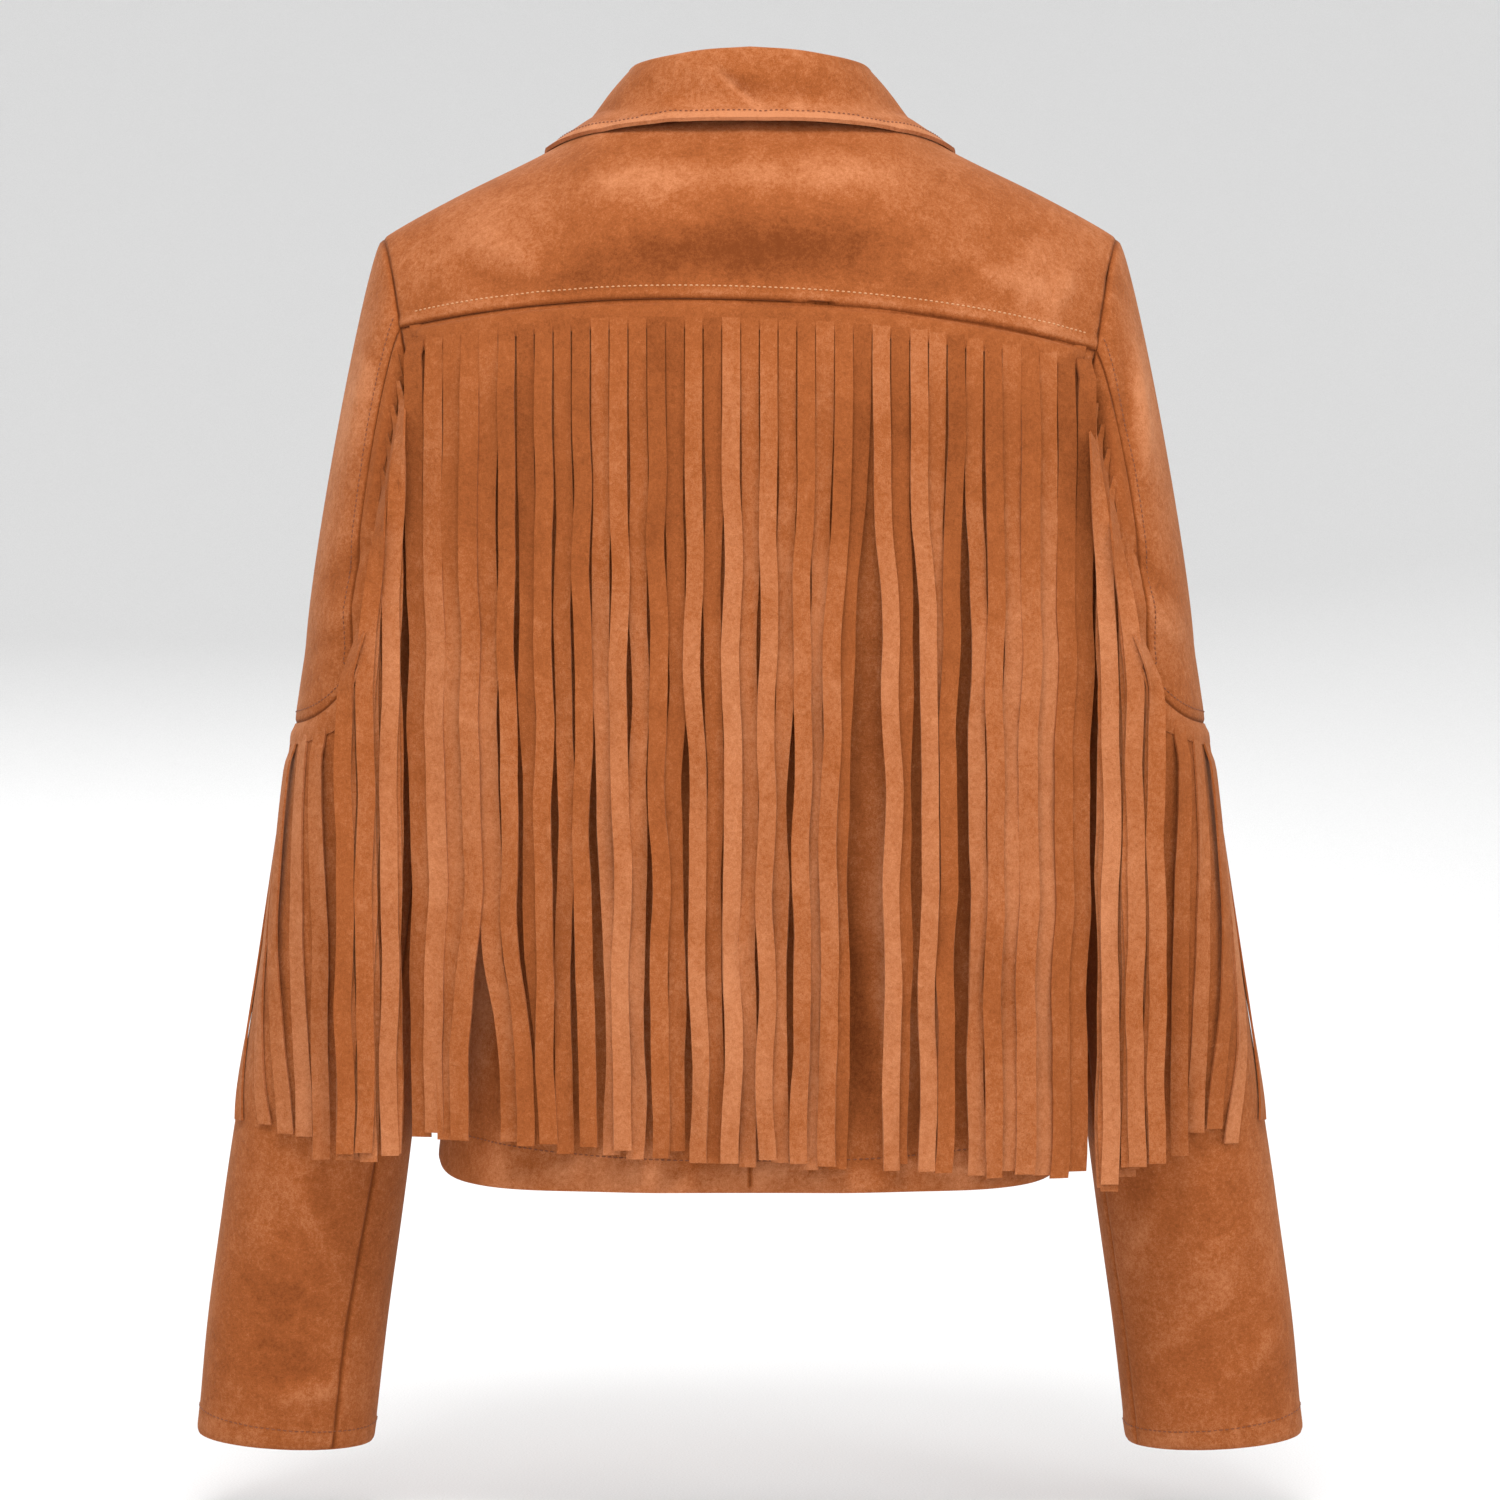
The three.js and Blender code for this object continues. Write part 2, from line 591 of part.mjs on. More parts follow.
// Collar: up from the neck edge, over the fold line and down to its free edge.
function collarProfile(seam, fold, edge) {
  const out = edge.clone().sub(fold).setZ(0).normalize();
  const top = fold.clone().addScaledVector(out, COLLAR_FOLD_RADIUS);
  top.z -= COLLAR_FOLD_RADIUS;
  const start = seam.clone();
  start.addScaledVector(out, -COLLAR_LIFT * 0.9).z += COLLAR_LIFT;
  const bow = (s) => Math.sin(s * Math.PI);
  const flat = fold.clone().setZ(top.z);
  const stand = [0, 0.35, 0.7].map((s) => start.clone().lerp(flat, s).addScaledVector(out, -bow(s)));
  const over = [180, 140, 100, 60, 25].map((degrees) => {
    const a = THREE.MathUtils.degToRad(degrees);
    const p = top.clone().addScaledVector(out, COLLAR_FOLD_RADIUS * Math.cos(a));
    p.z += COLLAR_FOLD_RADIUS * Math.sin(a);
    return p;
  });
  const fall = [0.3, 0.55, 0.8, 1].map((s) => {
    return over.at(-1).clone().lerp(edge, s).addScaledVector(out, -6 * bow(s * s));
  });
  return [...stand, ...over, ...fall.map((p) => pushedOff(p, COLLAR_CLEARANCE))];
}

function collarBlock() {
  const seam = new THREE.CatmullRomCurve3([
    ...topRow(BACK).slice(0, STEPS.neck + 1),
    ...topRow(FRONT).slice(0, STEPS.neck).reverse(),
  ]);
  const line = (name) => new THREE.CatmullRomCurve3(COLLAR.map((r) => vec(...r[name])), false, 'centripetal');
  const [fold, edge] = [line('fold'), line('edge')];
  const half = COLLAR_STOPS.map((s) => collarProfile(seam.getPointAt(s), fold.getPoint(s), edge.getPoint(s)));
  return [...mirrored(half).reverse(), ...half.slice(1)];
}

const collarMiddle = () => vec(0, 0, -1000);

// Fringes. How far a strand is off the sleeve, seen as an ellipse at each height.
function sleeveDistance(p) {
  if (p.z > SLEEVE[0].z || p.z < SLEEVE.at(-1).z) return { distance: 99, direction: vec(0, 1, 0) };
  const [a, b] = [sleeveCurve.width(p.z), sleeveCurve.depth(p.z)];
  const q = vec((p.x - sleeveCurve.x(p.z)) / a, (p.y - sleeveCurve.y(p.z)) / b, 0);
  const slope = vec(q.x / a, q.y / b, 0).divideScalar(q.length());
  return { distance: (q.length() - 1) / slope.length(), direction: slope.normalize() };
}

// A repeatable number between -1 and 1 for a strand.
function chance(seed, salt) {
  const v = Math.sin(seed * 12.9898 + salt * 78.233) * 43758.5453;
  return 2 * (v - Math.floor(v)) - 1;
}

// A strand as a closed ribbon through sections of centre, across and out.
function ribbon(sections) {
  const [w, t] = [STRAND.width / 2, STRAND.thickness / 2];
  const corners = sections.flatMap(({ centre, across, out }) =>
    [[-w, -t], [w, -t], [w, t], [-w, t]].map(([a, o]) =>
      centre.clone().addScaledVector(across, a).addScaledVector(out, o),
    ),
  );
  const sides = sections.slice(1).flatMap((_, i) =>
    [0, 1, 2, 3].map((k) => {
      const [a, b] = [4 * i + k, 4 * i + ((k + 1) % 4)];
      return [a, a + 4, b + 4, b];
    }),
  );
  const last = corners.length - 4;
  return solidGeometry(corners, [[0, 1, 2, 3], ...sides, [last + 3, last + 2, last + 1, last]]);
}

function solidOf(geometry) {
  const mesh = new wasm.Mesh({
    numProp: 3,
    vertProperties: geometry.getAttribute('position').array,
    triVerts: new Uint32Array(geometry.getIndex().array),
  });
  mesh.merge();
  return new wasm.Manifold(mesh);
}

function geometryOf(solid) {
  const mesh = solid.getMesh();
  return new THREE.BufferGeometry()
    .setAttribute('position', new THREE.BufferAttribute(mesh.vertProperties, 3))
    .setIndex(new THREE.BufferAttribute(mesh.triVerts, 1));
}

// The section of a strand at a centre, with its width level and its face turned out.
function strandSection(centre, facing, turn) {
  const out = facing.clone().setZ(0).normalize().applyAxisAngle(vec(0, 0, 1), turn);
  return { centre, across: out.clone().cross(vec(0, 0, 1)), out };
}

// The back's strands hang from its fullest place; every other one lies a layer further out.
function gapPush(x, z) {
  return FRINGE_GAPS.reduce((total, { x: middle, top, open, width }) => {
    const near = Math.max(0, 1 - Math.abs(x - middle) / (GAP_REACH.base + GAP_REACH.slope * width));
    return total + Math.sign(x - middle) * (width / 2) * near * smoothstep(-z, -top, -open);
  }, 0);
}

function backStrand(i) {
  const { pitch, strands, header, layer, spread, beside, drawn, end, endLean } = BACK_FRINGE;
  const x = (i - (strands - 1) / 2) * pitch;
  const top = yokeZ(x) - HEADER.gap - header * 0.45;
  const length = top - end - endLean * x + 3 * chance(i, 1);
  const { direction } = torsoDistance(vec(x, torsoY(BACK, x, top), top));
  let reach = 0;
  const sections = STRAND_SECTIONS.map((s) => {
    const z = top - length * s;
    const sway = 1.2 * s * chance(i, 2) + 0.8 * s * Math.sin(3 * s + 3 * chance(i, 3));
    const drift = x * (1 - drawn * s) + gapPush(x, z) + sway;
    for (let h = top; h > z - 6; h -= 6) reach = Math.max(reach, torsoY(BACK, drift, h));
    const overSleeve = beside * smoothstep(Math.abs(x), 158, 172) * smoothstep(s, 0, 0.035);
    const outer = (i % 2) * (layer * smoothstep(s, 0.02, 0.1) + spread * s);
    const hung = overSleeve + smoothstep(s, 0, 0.035) + 2 * smoothstep(s, 0.03, 0.5) + outer;
    const centre = vec(drift, s < 0.04 ? torsoY(BACK, drift, z) : reach, z);
    const facing = s < 0.04 ? direction : direction.clone().lerp(vec(0, 1, 0), 0.4).setZ(0).normalize();
    centre.addScaledVector(facing, HEADER.lift + hung);
    return strandSection(centre, facing, 0.16 * s * chance(i, 4));
  });
  return ribbon(sections);
}

function backHeader() {
  const { header, armholeGap } = BACK_FRINGE;
  return [0, 1].map((row) =>
    between(-1, 1, 20).map((share) => {
      const down = HEADER.gap + header * row;
      const side = yokeZ(Math.sign(share) * YOKE.reach) - down;
      const x = share * (armhole(armholeTurn(side)).x - armholeGap);
      const z = yokeZ(x) - down;
      const p = vec(x, torsoY(BACK, x, z), z);
      return p.addScaledVector(torsoDistance(p).direction, HEADER.lift);
    }),
  );
}

// Outward direction of the sleeve's surface.
function sleeveNormal(turn, t) {
  const e = 0.004;
  const round = sleevePoint(turn + e, t).sub(sleevePoint(turn - e, t));
  const down = sleevePoint(turn, t + e).sub(sleevePoint(turn, t - e));
  const n = down.cross(round).normalize();
  const away = sleevePoint(turn, t).sub(sleevePoint(turn + 0.5, t));
  return n.dot(away) > 0 ? n : n.negate();
}

// The line of the sleeve's header: from the armhole down to the elbow's corner, then to the front seam.
function fringeLine(hand, width) {
  const { header, vertical, elbow } = SLEEVE_FRINGE;
  const corner = FRINGE_SEAM.elbowTurn;
  const front = FRONT_SEAM - 1;
  const round = (mm) => mm / 300; // turns for a distance round the sleeve
  const along = (mm) => mm / 400; // and shares of the forearm for one along it
  const arm = between(0.07, FRINGE_SEAM.cornerT, vertical * 2).map((t) => [
    fringeSeamTurn(hand, t) + round(HEADER.gap + width),
    t + along(HEADER.gap + width) * smoothstep(t, 0.6, FRINGE_SEAM.cornerT),
  ]);
  const turned = between(corner, front + 0.012, elbow * 2).map((turn) => [
    turn + round(HEADER.gap + width) * smoothstep(turn, corner - 0.1, corner),
    fringeSeamT(turn) + along(HEADER.gap + width),
  ]);
  return [...arm.slice(0, -1), ...turned].map(([turn, t]) => ({
    turn,
    t,
    point: sleevePoint(turn, t).addScaledVector(sleeveNormal(turn, t), HEADER.lift),
    out: sleeveNormal(turn, t),
    header,
  }));
}

function sleeveHeader(hand) {
  return [0, 0.5, 1].map((s) => fringeLine(hand, SLEEVE_FRINGE.header * s).map((p) => p.point));
}

// Strands that leave the arm's back hang side by side in columns, the upper ones further out.
function armStrand(hand, i) {
  const { header, vertical, perColumn, column, columnX, levelShift, standOff, armEnd } = SLEEVE_FRINGE;
  const root = fringeLine(hand, header * 0.75)[2 * i + 1];
  const level = (vertical - 1 - i) % perColumn;
  const place = Math.floor((vertical - 1 - i) / perColumn);
  const length = root.point.z - armEnd[hand][place] + 3 * chance(i, hand + 5);
  const sections = STRAND_SECTIONS.map((s) => {
    const z = root.point.z - length * s;
    const out = smoothstep(s, 0, SLEEVE_FRINGE.outward);
    const moved = smoothstep(s, 0, SLEEVE_FRINGE.aside);
    const x = lerp(root.point.x, columnX + level * levelShift - place * column, moved);
    const sway = 0.6 * s * chance(i, hand + 6);
    const y = lerp(root.point.y, standOff + SLEEVE_FRINGE.layer * level, out);
    return strandSection(vec(x + sway, y, z), vec(0.25 * (1 - out), 1, 0), 0);
  });
  return ribbon(sections);
}

// Strands from the elbow hang straight down and rest on the sleeve where it slopes out.
function elbowStrand(hand, i) {
  const { header, vertical, elbow, layer, outerElbow, elbowEnd, frontEnd } = SLEEVE_FRINGE;
  const apart = layer * (i % 2) * (1 - smoothstep(i, ...outerElbow));
  const root = fringeLine(hand, header * 0.6)[2 * vertical + 2 * i + 1];
  const length = root.point.z - lerp(elbowEnd, frontEnd, i / elbow) + 6 * chance(i, hand + 7);
  const sections = STRAND_SECTIONS.map((s) => {
    const hung = apart * smoothstep(s, 0.01, 0.08);
    const p = root.point.clone();
    p.z -= length * s;
    const out = s < 0.02 ? root.out.clone() : sleeveDistance(p).direction;
    for (let k = 0; k < 4 && s > 0.02; k++) {
      const { distance, direction } = sleeveDistance(p);
      const want = HEADER.lift + hung + 1.7 * smoothstep(s, 0, 0.1);
      if (distance < want) p.addScaledVector(direction, want - distance);
      out.copy(direction);
    }
    return strandSection(p, out, 0.1 * s * chance(i, hand + 8));
  });
  return ribbon(sections);
}

const panels = {};
for (const [name, hand] of [['left', LEFT], ['right', RIGHT]]) {
  const turned = (block) => (hand === LEFT ? block : mirrored(block));
  const torso = torsoBlocks(hand);
  const sleeve = sleeveBlocks(hand);
  panels.back_yoke = { blocks: [...(panels.back_yoke?.blocks ?? []), turned(torso.yoke)], middle: torsoMiddle };
  panels[`back_${name}`] = { blocks: [turned(torso.back)], middle: torsoMiddle };
  panels[`front_${name}`] = { blocks: [turned(torso.frontTop), turned(torso.front)], middle: torsoMiddle };
  panels[`sleeve_cap_${name}`] = { blocks: [turned(sleeve.cap)], middle: sleeveMiddle(hand) };
  panels[`sleeve_lower_${name}`] = {
    blocks: [turned(sleeve.strip), turned(sleeve.lower)],
    middle: sleeveMiddle(hand),
  };
  panels[`sleeve_under_${name}`] = { blocks: [turned(sleeve.under)], middle: sleeveMiddle(hand) };
}

const suede = new THREE.MeshStandardMaterial({ color: 0xb8683a, roughness: 0.9, metalness: 0 });
const jacket = new THREE.Group();

function add(name, geometry) {
  const mesh = new THREE.Mesh(geometry, suede.clone());
  mesh.name = name;
  jacket.add(mesh);
}

const faces = Object.fromEntries(
  Object.entries(panels).map(([name, panel]) => [name, facesOf(panel.blocks, panel.middle)]),
);
const shared = new Map();
Object.values(faces).forEach((panel) => addNormals(panel, shared));
for (const [name, panel] of Object.entries(faces)) add(name, wall(panel, shared, CLOTH));

// A piece that lies by itself, with the normals of its own faces.
function ownWall(block, middle, thickness) {
  const panel = facesOf([block], middle);
  return wall(panel, addNormals(panel, new Map()), thickness, 0);
}

add('collar', ownWall(collarBlock(), collarMiddle, COLLAR_WALL));

function fringe(header, strands) {
  return geometryOf(wasm.Manifold.union([header, ...strands].map(solidOf)).simplify(0.04));
}

const backStrands = Array.from({ length: BACK_FRINGE.strands }, (_, i) => backStrand(i));
add('fringe_back', fringe(ownWall(backHeader(), torsoMiddle, HEADER.thickness), backStrands));

for (const [name, hand] of [['left', LEFT], ['right', RIGHT]]) {
  const header = ownWall(sleeveHeader(hand), sleeveMiddle(LEFT), HEADER.thickness);
  const arm = Array.from({ length: SLEEVE_FRINGE.vertical }, (_, i) => armStrand(hand, i));
  const elbow = Array.from({ length: SLEEVE_FRINGE.elbow - 1 }, (_, i) => elbowStrand(hand, i));
  const geometry = fringe(header, [...arm, ...elbow]);
  if (hand === RIGHT) {
    geometry.scale(-1, 1, 1);
    geometry.index.array.reverse();
  }
  add(`fringe_sleeve_${name}`, geometry);
}

export default jacket;
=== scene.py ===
# The looks of a cropped fringed faux suede jacket, worn form, in the frame of its solids.
# Lengths are in millimetres until a mesh is made. The wearer faces -Y and the wearer's left is +X.
# In order: sizes, surfaces, materials, panels and collar, fringes, stitches, stage and cuts.
import math

import bpy
import numpy as np
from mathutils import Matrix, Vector
from mathutils.bvhtree import BVHTree


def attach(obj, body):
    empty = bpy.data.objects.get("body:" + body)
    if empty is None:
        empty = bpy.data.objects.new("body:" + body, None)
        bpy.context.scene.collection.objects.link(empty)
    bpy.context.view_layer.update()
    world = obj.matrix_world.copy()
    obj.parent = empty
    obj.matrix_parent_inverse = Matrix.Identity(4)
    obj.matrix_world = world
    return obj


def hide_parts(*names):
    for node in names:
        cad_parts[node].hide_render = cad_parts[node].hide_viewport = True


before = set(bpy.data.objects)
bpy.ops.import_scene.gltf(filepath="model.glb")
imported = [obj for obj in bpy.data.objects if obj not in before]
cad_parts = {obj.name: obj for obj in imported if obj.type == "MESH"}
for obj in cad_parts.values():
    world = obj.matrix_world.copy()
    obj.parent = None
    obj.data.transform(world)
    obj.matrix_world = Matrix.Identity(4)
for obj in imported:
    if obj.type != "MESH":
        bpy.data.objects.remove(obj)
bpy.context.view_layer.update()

LEFT, RIGHT = 1, -1
SIDES = (("left", LEFT), ("right", RIGHT))
BACK, FRONT = 1, -1
CLOTH = 1.4
COLLAR_WALL = 2.0
MITRE_LIMIT = 0.6

# Camera: level with the middle of the picture, 2.4 m behind the wearer's back.
CAMERA_DISTANCE = 2400
CAMERA_HEIGHT = -318
FRAME_WIDTH = 780


def table(columns, *rows):
    return [dict(zip(columns.split(), row)) for row in rows]


# Torso sections by height: half width, and depth of back and front from the shoulder line.
TORSO = table(
    "z width back front",
    (30, 215, 100, 57),
    (-18, 214, 100, 61),
    (-54, 212, 99, 70),
    (-104, 204, 98, 88),
    (-154, 187, 101, 106),
    (-213, 167, 99, 117),
    (-254, 155, 97, 118),
    (-280, 148.5, 94, 115),
    (-318, 146.5, 89, 110),
    (-418, 150, 88, 103),
    (-498, 157, 91, 103),
    (-539, 162, 93, 105),
)
SECTION_POWER = 2.4
SHOULDER_Y = 5
SHOULDER_ROUND = {BACK: 130, FRONT: 110}
SHOULDER_LINE = table(
    "x z",
    (0, 23),
    (40, 20),
    (72, 10.5),
    (101.6, -7.4),
    (149.5, -31),
    (178.6, -46.5),
    (191, -54),
    (215, -70),
)
NECK_HALF_WIDTH = 72
NECK_Z = {BACK: (2, 3), FRONT: (-68, 2.2)}
NECK_POINT_Z = 10.5
FRONT_EDGE = (10, 16)
HEM_Z = -539
HEM_STITCH = 16
HEM_SIDE_Z = -527
HEM_POWER = 6.5
HEM_ROUND = 2.4
YOKE = dict(z=-93.9, drop=-15.5, lean=0.033, power=2.2, reach=179)
CHEST_ROW_Z = -150

# The nets of the panels: spacing, and about the length that each row or column spans.
NET = dict(
    across=(3.6, 205),
    side=(4.5, 273),
    below_yoke=(4, 190),
    under_front=(5, 120),
    yoke=(3, 120),
    front_top=(5, 150),
    cap=(4.5, 150),
    elbow=(5, 190),
    forearm=(5.5, 385),
    strip=(4.5, 60),
    under=(4.5, 80),
)

ARMHOLE = dict(z=-153.6, half_height=100.3, back=55.5, front=55)
UNDERARM = 0.5
FRONT_SEAM = 0.7
UNDERARM_Z = ARMHOLE["z"] - ARMHOLE["half_height"]

SLEEVE = table(
    "z x y width depth",
    (-268, 193.6, 2, 36.2, 60),
    (-318, 198.4, 4, 38.6, 57),
    (-378, 205, 2, 41, 54),
    (-438, 212, -2, 43.2, 51),
    (-498, 220, -8, 45.2, 48),
    (-558, 228.8, -15, 46, 45),
    (-618, 237.4, -22, 46, 42),
    (-678, 244.2, -29, 45.6, 39),
)
CAP_TOP = dict(out=0.9, down=0.35, start=22, end=150)
CAP_SIDE = dict(out=0.62, down=0.75, start=60, end=80)
CAP_UNDER = dict(out=0.8, down=0.6, start=12, end=14)

FRINGE_SEAM = dict(elbow_turn=0.218, corner_t=1.045, elbow_t=1.097, power=4)
UNDER_SEAM = {LEFT: (0.42, 0.352), RIGHT: (0.46, 0.43)}

# Folds that the solids have too.
BACK_FOLDS = table(
    "x half_width height top end",
    (118, 26, 5, -330, -560),
    (52, 22, 3, -380, -560),
    (-68, 24, 5, -300, -560),
    (-128, 20, 4, -350, -560),
)
SLEEVE_FOLDS = table(
    "turn t length half_width height",
    (0.12, 1.86, 0.08, 0.07, 2),
    (0.28, 1.82, 0.1, 0.08, -2.4),
)

# Soft creases that the scene alone has, each a ridge or trough along a line.
# Those of the sleeves are in turns round the arm and shares of its length.
SLEEVE_CREASES = table(
    "turn0 t0 turn1 t1 half_width height",
    (0.12, 1.55, 0.3, 1.68, 0.022, -1.6),
    (0.1, 1.7, 0.32, 1.8, 0.02, 1.2),
    (0.16, 1.84, 0.34, 1.92, 0.022, -1.4),
    (0.62, 1.08, 0.8, 1.16, 0.024, -2.2),
    (0.66, 1.18, 0.86, 1.22, 0.022, -1.6),
    (0.7, 1.36, 0.9, 1.5, 0.022, -1.4),
    (0.75, 1.62, 0.6, 1.74, 0.024, -1.5),
)
# Those of the body, and of the arms seen from one face, are in the X and Z of that face.
BODY_CREASES = table(
    "face x0 z0 x1 z1 half_width height",
    (BACK, -112, -74, -150, -88, 5.5, 1.7),
    (BACK, -108, -60, -158, -52, 6, -1.4),
    (BACK, -84, -86, -140, -66, 5, -1.3),
    (BACK, -150, -104, -166, -68, 5, 1.3),
    (BACK, 96, -84, 142, -56, 7, 1.2),
    (BACK, 110, -92, 152, -70, 5, -1.1),
    (BACK, 70, -70, 104, -96, 8, -1.0),
    (BACK, 10, -58, 60, -48, 12, 1.1),
    (BACK, -50, -52, 0, -62, 12, 1.0),
    (BACK, 150, -330, 128, -520, 9, 3.0),
    (BACK, 112, -400, 138, -534, 7, -2.6),
    (BACK, 92, -440, 100, -536, 6, 2.0),
    (BACK, -44, -380, -60, -505, 9, -4.0),
    (BACK, -66, -330, -74, -520, 8, 3.2),
    (BACK, -100, -380, -88, -530, 7, -3.0),
    (BACK, -118, -420, -140, -532, 7, 2.4),
    (BACK, 60, -512, 98, -531, 4, 1.6),
    (BACK, 96, -520, 128, -532, 4, -1.4),
    (BACK, 14, -520, 52, -535, 4, -1.5),
    (BACK, -30, -516, 8, -533, 4.5, 1.6),
    (BACK, -76, -532, -34, -518, 4, -1.5),
    (BACK, -114, -533, -78, -520, 4, 1.4),
    (BACK, -140, -530, -112, -518, 4, -1.2),
    (BACK, 19, 28, -8, 4, 2.8, 1.9),
    (BACK, -24, 16, -26, 4, 4, 0.9),
    (BACK, 44, 14, 38, 0, 6, -1.0),
    (BACK, 12, 26, -14, 18, 4, -1.2),
    (BACK, -171.5, -126, -176, -190, 6, -5.5),
    (BACK, 174, -122, 178, -186, 6, -5.0),
    (BACK, -197, -108, -202, -178, 4.5, 2.2),
    (BACK, -190, -118, -192, -170, 5, -1.6),
    (BACK, -180, -70, -206, -92, 7, -1.5),
    (BACK, -186, -214, -216, -240, 6, -2.2),
    (BACK, -190, -236, -222, -262, 6, 1.8),
    (BACK, 194, -112, 204, -170, 6, 1.7),
    (BACK, 184, -76, 208, -98, 7, -1.5),
    (BACK, 188, -212, 216, -236, 6, -2.0),
    (BACK, 186, -238, 222, -258, 6, 1.6),
    (BACK, 237, -539, 208, -596, 5, 1.7),
    (BACK, 251, -654, 211, -650, 5, 1.7),
    (BACK, 260, -641, 214, -638, 6, -1.4),
    (BACK, -212, -544, -185, -601, 5, 1.4),
    (BACK, -237, -604, -201, -638, 5.5, 1.3),
    (BACK, -250, -574, -238, -608, 6, 0.9),
    (BACK, -275, -614, -252, -646, 5.5, 1.3),
    (FRONT, -190, -100, -206, -160, 6, 1.8),
    (FRONT, -186, -200, -220, -236, 6, -2.0),
    (FRONT, 190, -104, 204, -158, 6, 1.7),
    (FRONT, 186, -206, 218, -240, 6, -2.0),
    (FRONT, 40, -60, 100, -110, 9, 1.4),
    (FRONT, 70, -96, 130, -120, 7, -1.3),
    (FRONT, -46, -70, -104, -104, 8, 1.3),
    (FRONT, -80, -110, -134, -128, 7, -1.4),
    (FRONT, 60, -260, 84, -420, 12, 2.4),
    (FRONT, 104, -300, 92, -500, 10, -2.6),
    (FRONT, 36, -380, 44, -520, 9, 1.8),
    (FRONT, -66, -280, -78, -460, 12, 2.4),
    (FRONT, -108, -320, -98, -510, 10, -2.4),
    (FRONT, -34, -360, -46, -500, 9, 1.9),
)
# A crease that starts within the first keeps off the sleeve, and beyond the second off the body.
BODY_TO, SLEEVE_FROM = 170, 178
BODY_FADE, SLEEVE_FADE = (158, 176), (172, 184)
# Creases fade towards the sides of the body and the arms.
SIDE_CLEAR, SIDE_FADE = 14, 24

# Broad zones painted lighter or darker on one face: painted light and shade.
PAINTED_LIGHT_ZONES = table(
    "face x z width height tone",
    (BACK, 4, -68, 76, 17, -0.2),
    (BACK, -40, -60, 40, 12, -0.08),
    (BACK, 6, -30, 70, 9, 0.12),
    (BACK, 60, -34, 26, 10, 0.1),
    (BACK, -56, -28, 30, 9, 0.1),
    (BACK, 118, -60, 40, 20, 0.07),
    (BACK, -120, -62, 40, 20, 0.08),
    (BACK, 80, -84, 30, 10, -0.1),
    (BACK, -86, -88, 26, 9, -0.08),
    (BACK, 150, -78, 20, 14, 0.04),
    (BACK, -150, -84, 20, 14, 0.04),
    (BACK, 30, 2, 60, 9, 0.1),
    (BACK, -36, 4, 40, 8, 0.12),
    (BACK, -208, -140, 14, 60, 0.12),
    (BACK, 208, -150, 14, 60, 0.1),
    (BACK, 232, -590, 30, 60, -0.08),
    (BACK, 0, -531, 150, 11, 0.13),
    (FRONT, 70, -120, 40, 60, 0.1),
    (FRONT, -64, -300, 40, 70, -0.1),
    (FRONT, 60, -420, 36, 60, 0.08),
    (FRONT, -70, -150, 36, 50, 0.1),
)
# Ridges are painted lighter and troughs darker, as painted light and shade, by this much for each
# millimetre.
CREASE_LIGHT_AND_SHADE = 0.055
# Raised seam bands get a painted highlight, by this much for each millimetre they stand up.
BAND_HIGHLIGHT = dict(yoke=0.07, collar=0.098, cuff=0.1)
# Painted shade in a seam, within this distance of it.
SEAM_SHADE, SEAM_HALF = -0.34, 0.95
# The right forearm's seam hardly shows in the photo, from the elbow down.
# The painted seam shade fades there to this share.
FADED_SEAM_SHADE, HIDDEN_FROM = 0.25, (300, 360)
# The strands are painted a little lighter low down, as painted light; their nap also differs from strand to
# strand.
STRAND_PAINTED_LIGHT, STRAND_LIGHTENS = (-0.035, 0.055), (150, 300)
STRAND_TINT = 0.085

COLLAR = table(
    "fold edge",
    ((0, 55, 38.1), (0, 73, 0.5)),
    ((22, 52.5, 37), (27, 71.5, 0.5)),
    ((38, 44, 35.6), (49, 66, -0.2)),
    ((50, 30, 35), (70, 54, -1.3)),
    ((56, 16, 34.6), (89, 34, -4.3)),
    ((57.5, 1, 33), (104, 8, -7.5)),
    ((54, -25, 19), (98, -34, -34)),
    ((38, -46, -10), (84, -64, -80)),
    ((13, -58, -45), (58, -86, -122)),
)
COLLAR_FOLD_RADIUS = 2.6
COLLAR_LIFT = 1.1
COLLAR_CLEARANCE = 2.6
COLLAR_STITCH = 7.5
FALL_ROWS = 26
YOKE_STITCH = 6.5
SEAM_STITCH = 5.5
CUFF_STITCH = 12.5
ON_SLEEVE = 1.45
ELBOW_LIFT = 1.3
ELBOW_CORNER_Z = -292

STRAND = dict(width=8.85, thickness=1.1)
HEADER = dict(thickness=1.4, gap=1.2, lift=2.1)
BACK_FRINGE = dict(
    pitch=9.3,
    strands=37,
    header=14,
    armhole_gap=5.5,
    layer=2.8,
    spread=2.2,
    beside=5.8,
    bow=2,
    waver=0.75,
    curl=0.29,
    side_curl=0.05,
    side_wider=1.14,
    drawn=0.035,
    end=-522,
    end_lean=0.06,
)
# Where the hanging strands of the back part, from a height down to a fully open one.
FRINGE_GAPS = table(
    "x top open width",
    (134.5, -395, -480, 19),
    (87, -390, -450, 7),
    (75, -320, -400, 7),
    (54, -320, -400, 4),
    (33, -280, -340, 5),
    (-20, -270, -330, 5),
    (-56, -130, -330, 19),
    (-82, -200, -290, 7),
    (-107, -150, -280, 8.5),
)
# Strands further out than this hang together over the body's side.
SIDE_STRANDS = 125
SIDE_SHIFT = 2.6
SIDE_SEED = 7
GAP_REACH = dict(base=8, slope=1.6)
SLEEVE_FRINGE = dict(
    header=10,
    vertical=11,
    elbow=12,
    per_column=4,
    column=10.6,
    column_x=200.3,
    level_shift=1.2,
    layer=2.5,
    stand_off=76.5,
    outward=0.105,
    outer_elbow=(3, 6),
    arm_end={LEFT: (-523, -523, -519), RIGHT: (-526, -530, -538)},
    elbow_end=-522,
    front_end=-504,
)


